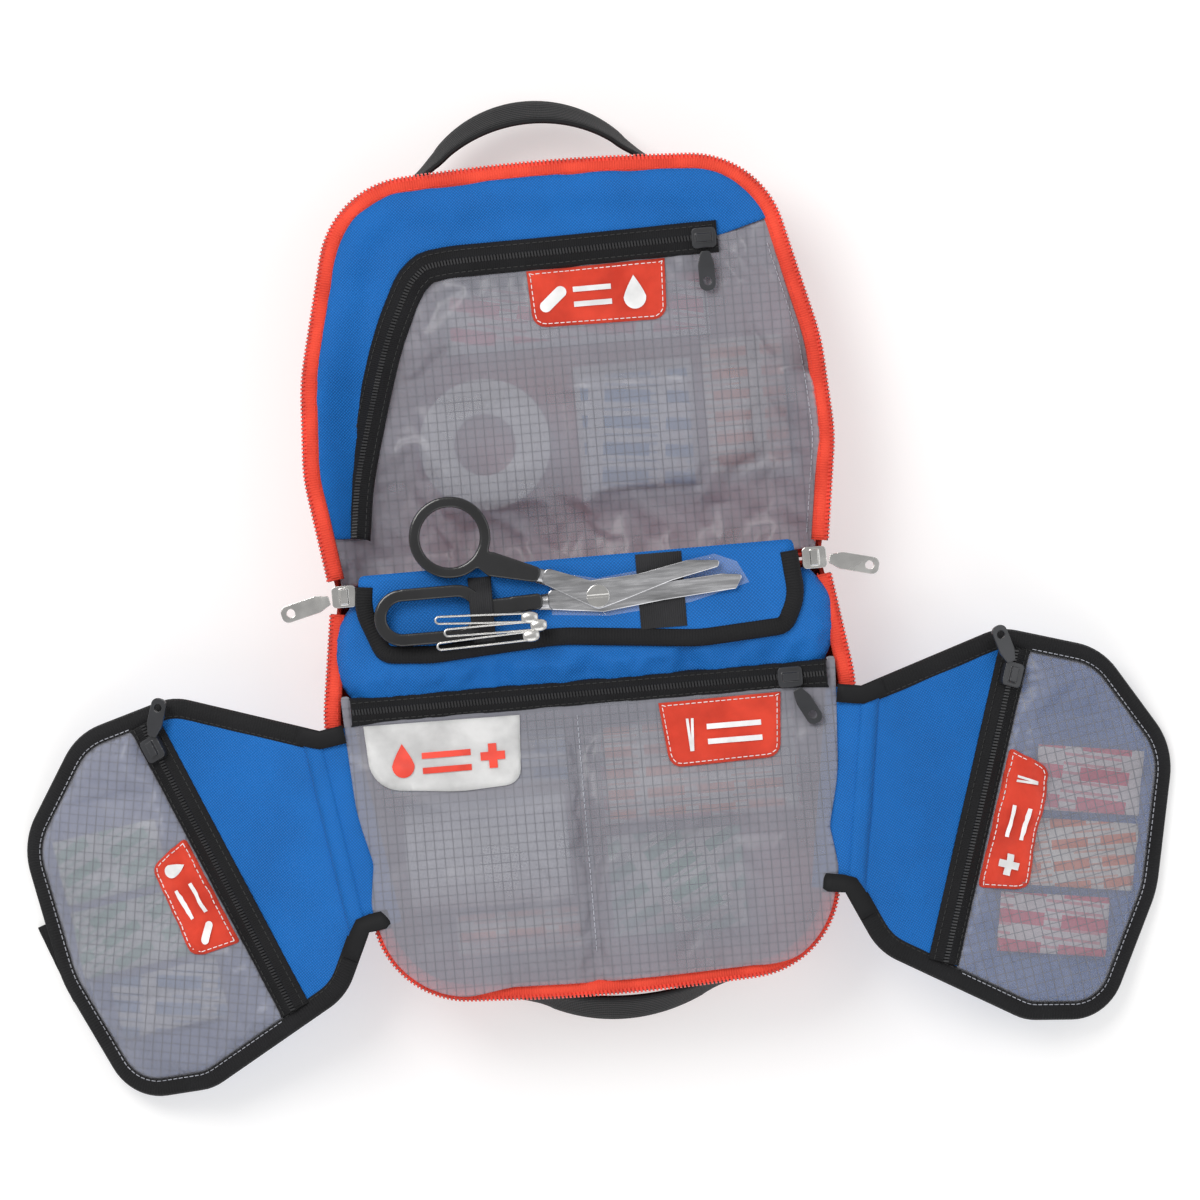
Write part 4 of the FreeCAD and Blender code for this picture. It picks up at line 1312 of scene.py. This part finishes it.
def neck(side):
    """Cloth from under the pouch over the rim to the wing, bending at the fold line."""
    flip = -1 if side == "left" else 1
    place = wing_place(side)
    turn = Matrix.Rotation(-WING_TURN, 3, "Z")
    as_is = lambda p: p

    def on_base(t, s, z):
        p = turn @ Vector((t, s, 0)) + Vector((*WING_HINGE, 0))
        return row(flip * p.x, p.y, z)

    points, uvs = [], []
    steps = [-13, -9, -6, -4, -2.5, -1.2, 0, 1.2, 2.5, 4, 6.5]
    count = 30
    for j in range(count + 1):
        s = -43 + 74 * j / count
        for t in steps:
            flare = max(0.0, t) * (0.468 if s > 0 else 1.405) * s / (31 if s > 0 else 43)
            if t <= 0:
                points.append(on_base(t, s, FOLD_Z - 0.2 - 0.25 * max(0, -t - 5)))
            else:
                points.append(place((t, s + flare, 1.75 - 1.4 * math.exp(-t / 1.2) - 0.08 * t)))
            uvs.append((t * MM, s * MM))
    obj = piece(side + "_neck_cloth", points, grid_faces(count + 1, len(steps)), WING_CLOTH[side],
                None, as_is, uvs)
    thicken(obj, 0.8, 0)
    frozen(obj)
    stand(obj, "blue_cloth", side + "_wing_neck")
    cloths = [obj]
    for end, s, spread, inward in (("a", -43, -1.405, 1), ("b", 31, 0.468, -1)):
        path = [on_base(t, s, FOLD_Z - 0.1) if t <= 0 else place((t, s + t * spread, 0.15))
                for t in (-9, -6, -4, -2, 0, 1.5, 3, 5, 7)]
        shape = [(flip * inward * -a * MM, z * MM)
                 for a, z in ((-0.9, -1.2), (-0.9, 1.3), (0.5, 1.6), (5.6, 1.3))]
        tape = carried(f"{side}_neck_binding_{end}", path, shape, GROSGRAIN, None, as_is)
        thicken(tape, 0.5, 0)
        frozen(tape)
        cloths.append(stand(tape, "binding_tape"))
    for cloth in cloths:
        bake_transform(cloth)


def wing_tab():
    outer = vectors((out(110), -12.5), (out(120.2), -14.5), (out(113.6), -44.5), (out(104), -42.5))
    verts, faces = patch(resample(outer, 2.5, True), lambda x, y: 0.3 + 0.1 * math.sin(y), 2.6)
    obj = piece("left_wing_tab_band", verts, faces, GROSGRAIN, "left_wing", wing_place("left"),
                [(v[0] * MM, v[1] * MM) for v in verts])
    thicken(obj, 1.0, -1)
    stand(obj, "binding_tape", "left_wing_tab")


# ---------------------------------------------------------------- handles
def handle(sign):
    """Webbing handle: sewn to the wall at both ends and arched between them."""
    prefix = "lid" if sign > 0 else "base"
    reach, rise, hollow, middle = (41.0, 24.0, 3.4, -5.0) if sign > 0 else (36.0, 9.0, 1.5, 5.0)
    foot, height = 153.0, RIM / 2
    radius = (reach ** 2 + rise ** 2) / (2 * rise)
    centre = Vector((middle, foot + rise - radius))
    wall = [p for p in SHELL_LINE if p.y > 100]

    def wall_at(x):
        return min(wall, key=lambda p: abs(p.x - x)).y + 1.6

    def sewn(side, past, wall_past):
        return Vector((middle + side * (reach + past), wall_at(middle + side * (reach + wall_past))))

    bend = math.asin(reach / radius)
    arc = [centre + Vector((math.sin(t), math.cos(t))) * (radius - 0.9 - hollow * math.cos(t * 1.3))
           for t in np.linspace(-bend * 0.86, bend * 0.86, 15)]
    flat = smooth_line([sewn(-1, 12, 12), sewn(-1, 3, 0), *arc, sewn(1, 3, 0), sewn(1, 12, 12)],
                       1.6)
    path = [Vector((p.x, sign * p.y, height)) for p in flat]
    ups = []
    for k, n in enumerate(normals(flat, False)):
        t = k / (len(flat) - 1)
        a = math.radians(34 - 14 * t) * math.sin(math.pi * t) ** 1.2
        ups.append(Vector((-n.x * math.cos(a), -sign * n.y * math.cos(a), math.sin(a))))
    obj = band(prefix + "_handle_webbing", path, 19, 1.7, WEBBING, None, ups=ups)
    frozen(obj)
    stand(obj, "binding_tape", prefix + "_handle", prefix + "_handle_patches")
    row(0, sign * 153.2, height)
    row(0, sign * (foot + rise / 2), height)
    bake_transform(obj)
    for side in (-1, 1):
        x0 = middle + side * (reach + 7)
        points = [Vector((x0 + dx, sign * (wall_at(x0 + dx) + 1.0), height + dz))
                  for dx, dz in ((-4, -7.5), (4, -7.5), (4, 7.5), (-4, 7.5), (-4, -7.5), (4, 7.5),
                                 (4, -7.5), (-4, 7.5))]
        blocks(f"{prefix}_handle_stitches_{'a' if side < 0 else 'b'}", resample(points, 1.5), 2.2,
               (0.4, 0.35, 1.5), THREAD_GREY, prefix, up=Vector((0, sign, 0)))


# ---------------------------------------------------------------- zip sliders and pulls
def zip_sliders():
    small = [(name, name + "_slider", name + "_pull", name + "_slider", DARK_METAL, "slider_dark")
             for name in ("lid_pocket", "pouch", "left_wing", "right_wing")]
    large = [("main_" + end, "main_slider_" + end, "main_pull_" + end, "base", NICKEL, "nickel")
             for end in ("left", "right")]
    for name, slider, pull, on, material, slot_name in small + large:
        softened(name + "_slider_body", slider, material, on, slot_name, 0.22, 4)
        softened(name + "_pull_tab", pull, material, pull, slot_name, 0.2, 3)


# ---------------------------------------------------------------- camera, light and floor
LAMPS = [("key", (-0.55, 0.75, 1.25), 0.7, 11, (1.0, 0.985, 0.96)),
         ("fill", (0.95, 0.15, 1.1), 1.0, 2.5, (0.96, 0.98, 1.0)),
         ("front", (0.0, -0.9, 0.9), 0.9, 2.5, (1.0, 1.0, 1.0))]


def studio():
    """Straight-down view of the open kit on a pale table, under large soft lights."""
    scene = bpy.context.scene
    centre = row(6.9, -9.0, 45)
    camera = bpy.data.cameras.new("camera")
    camera.sensor_width = 36
    camera.lens = 114.5 * DISTANCE / 1.4
    camera.clip_end = 20
    eye = bpy.data.objects.new("camera", camera)
    eye.location = centre + Vector((0, 0, DISTANCE))
    eye.rotation_euler = (0, 0, math.radians(-4.8))
    scene.collection.objects.link(eye)
    scene.camera = eye
    for name, place, size, power, tone in LAMPS:
        data = bpy.data.lights.new(name, "AREA")
        data.size, data.energy, data.color = size, power, tone
        lamp = bpy.data.objects.new(name, data)
        lamp.location = place
        lamp.rotation_euler = (centre - Vector(place)).to_track_quat("-Z", "Y").to_euler()
        scene.collection.objects.link(lamp)
    world = bpy.data.worlds.new("studio")
    scene.world = world
    world.use_nodes = True
    tree = world.node_tree
    ground = tree.nodes["Background"]
    split = tree.nodes.new("ShaderNodeSeparateXYZ")
    coordinates = tree.nodes.new("ShaderNodeTexCoord")
    tree.links.new(coordinates.outputs["Generated"], split.inputs[0])
    fade = tree.nodes.new("ShaderNodeMapRange")
    for key, value in (("From Min", 0.45), ("From Max", 1.0), ("To Min", 0.62), ("To Max", 0.40)):
        fade.inputs[key].default_value = value
    tree.links.new(split.outputs[2], fade.inputs["Value"])
    ground.inputs[0].default_value = (1, 1, 1, 1)
    tree.links.new(fade.outputs[0], ground.inputs[1])
    mesh = bpy.data.meshes.new("floor")
    far = 3.0
    mesh.from_pydata([(-far, -far, 0), (far, -far, 0), (far, far, 0), (-far, far, 0)], [],
                     [(0, 1, 2, 3)])
    floor = bpy.data.objects.new("floor", mesh)
    scene.collection.objects.link(floor)
    paper = Look("floor", (0.62, 0.62, 0.62), 0.9, Emission_Color=(1, 1, 1, 1),
                 Emission_Strength=0.45)
    mesh.materials.append(paper.material)
    scene.view_settings.view_transform = "Standard"


shell("base_shell_cloth", -1, "base", "base_shell")
shell("lid_shell_cloth", 1, "lid", "lid_shell")
rim("base_rim_tape", -1, "base", "base_rim_zip")
rim("lid_rim_tape", 1, "lid", "lid_rim_zip")
fold_strip()
lid_cover()
pouch_cover()
tool_flap()
shears()
pins()
supplies()
wing("left", 67.5, 25.0, (7, -35), 41)
wing("right", 58.5, 33.0, (14, -38), 51)
wing_tab()
handle(1)
handle(-1)
zip_sliders()
studio()
bpy.context.view_layer.update()
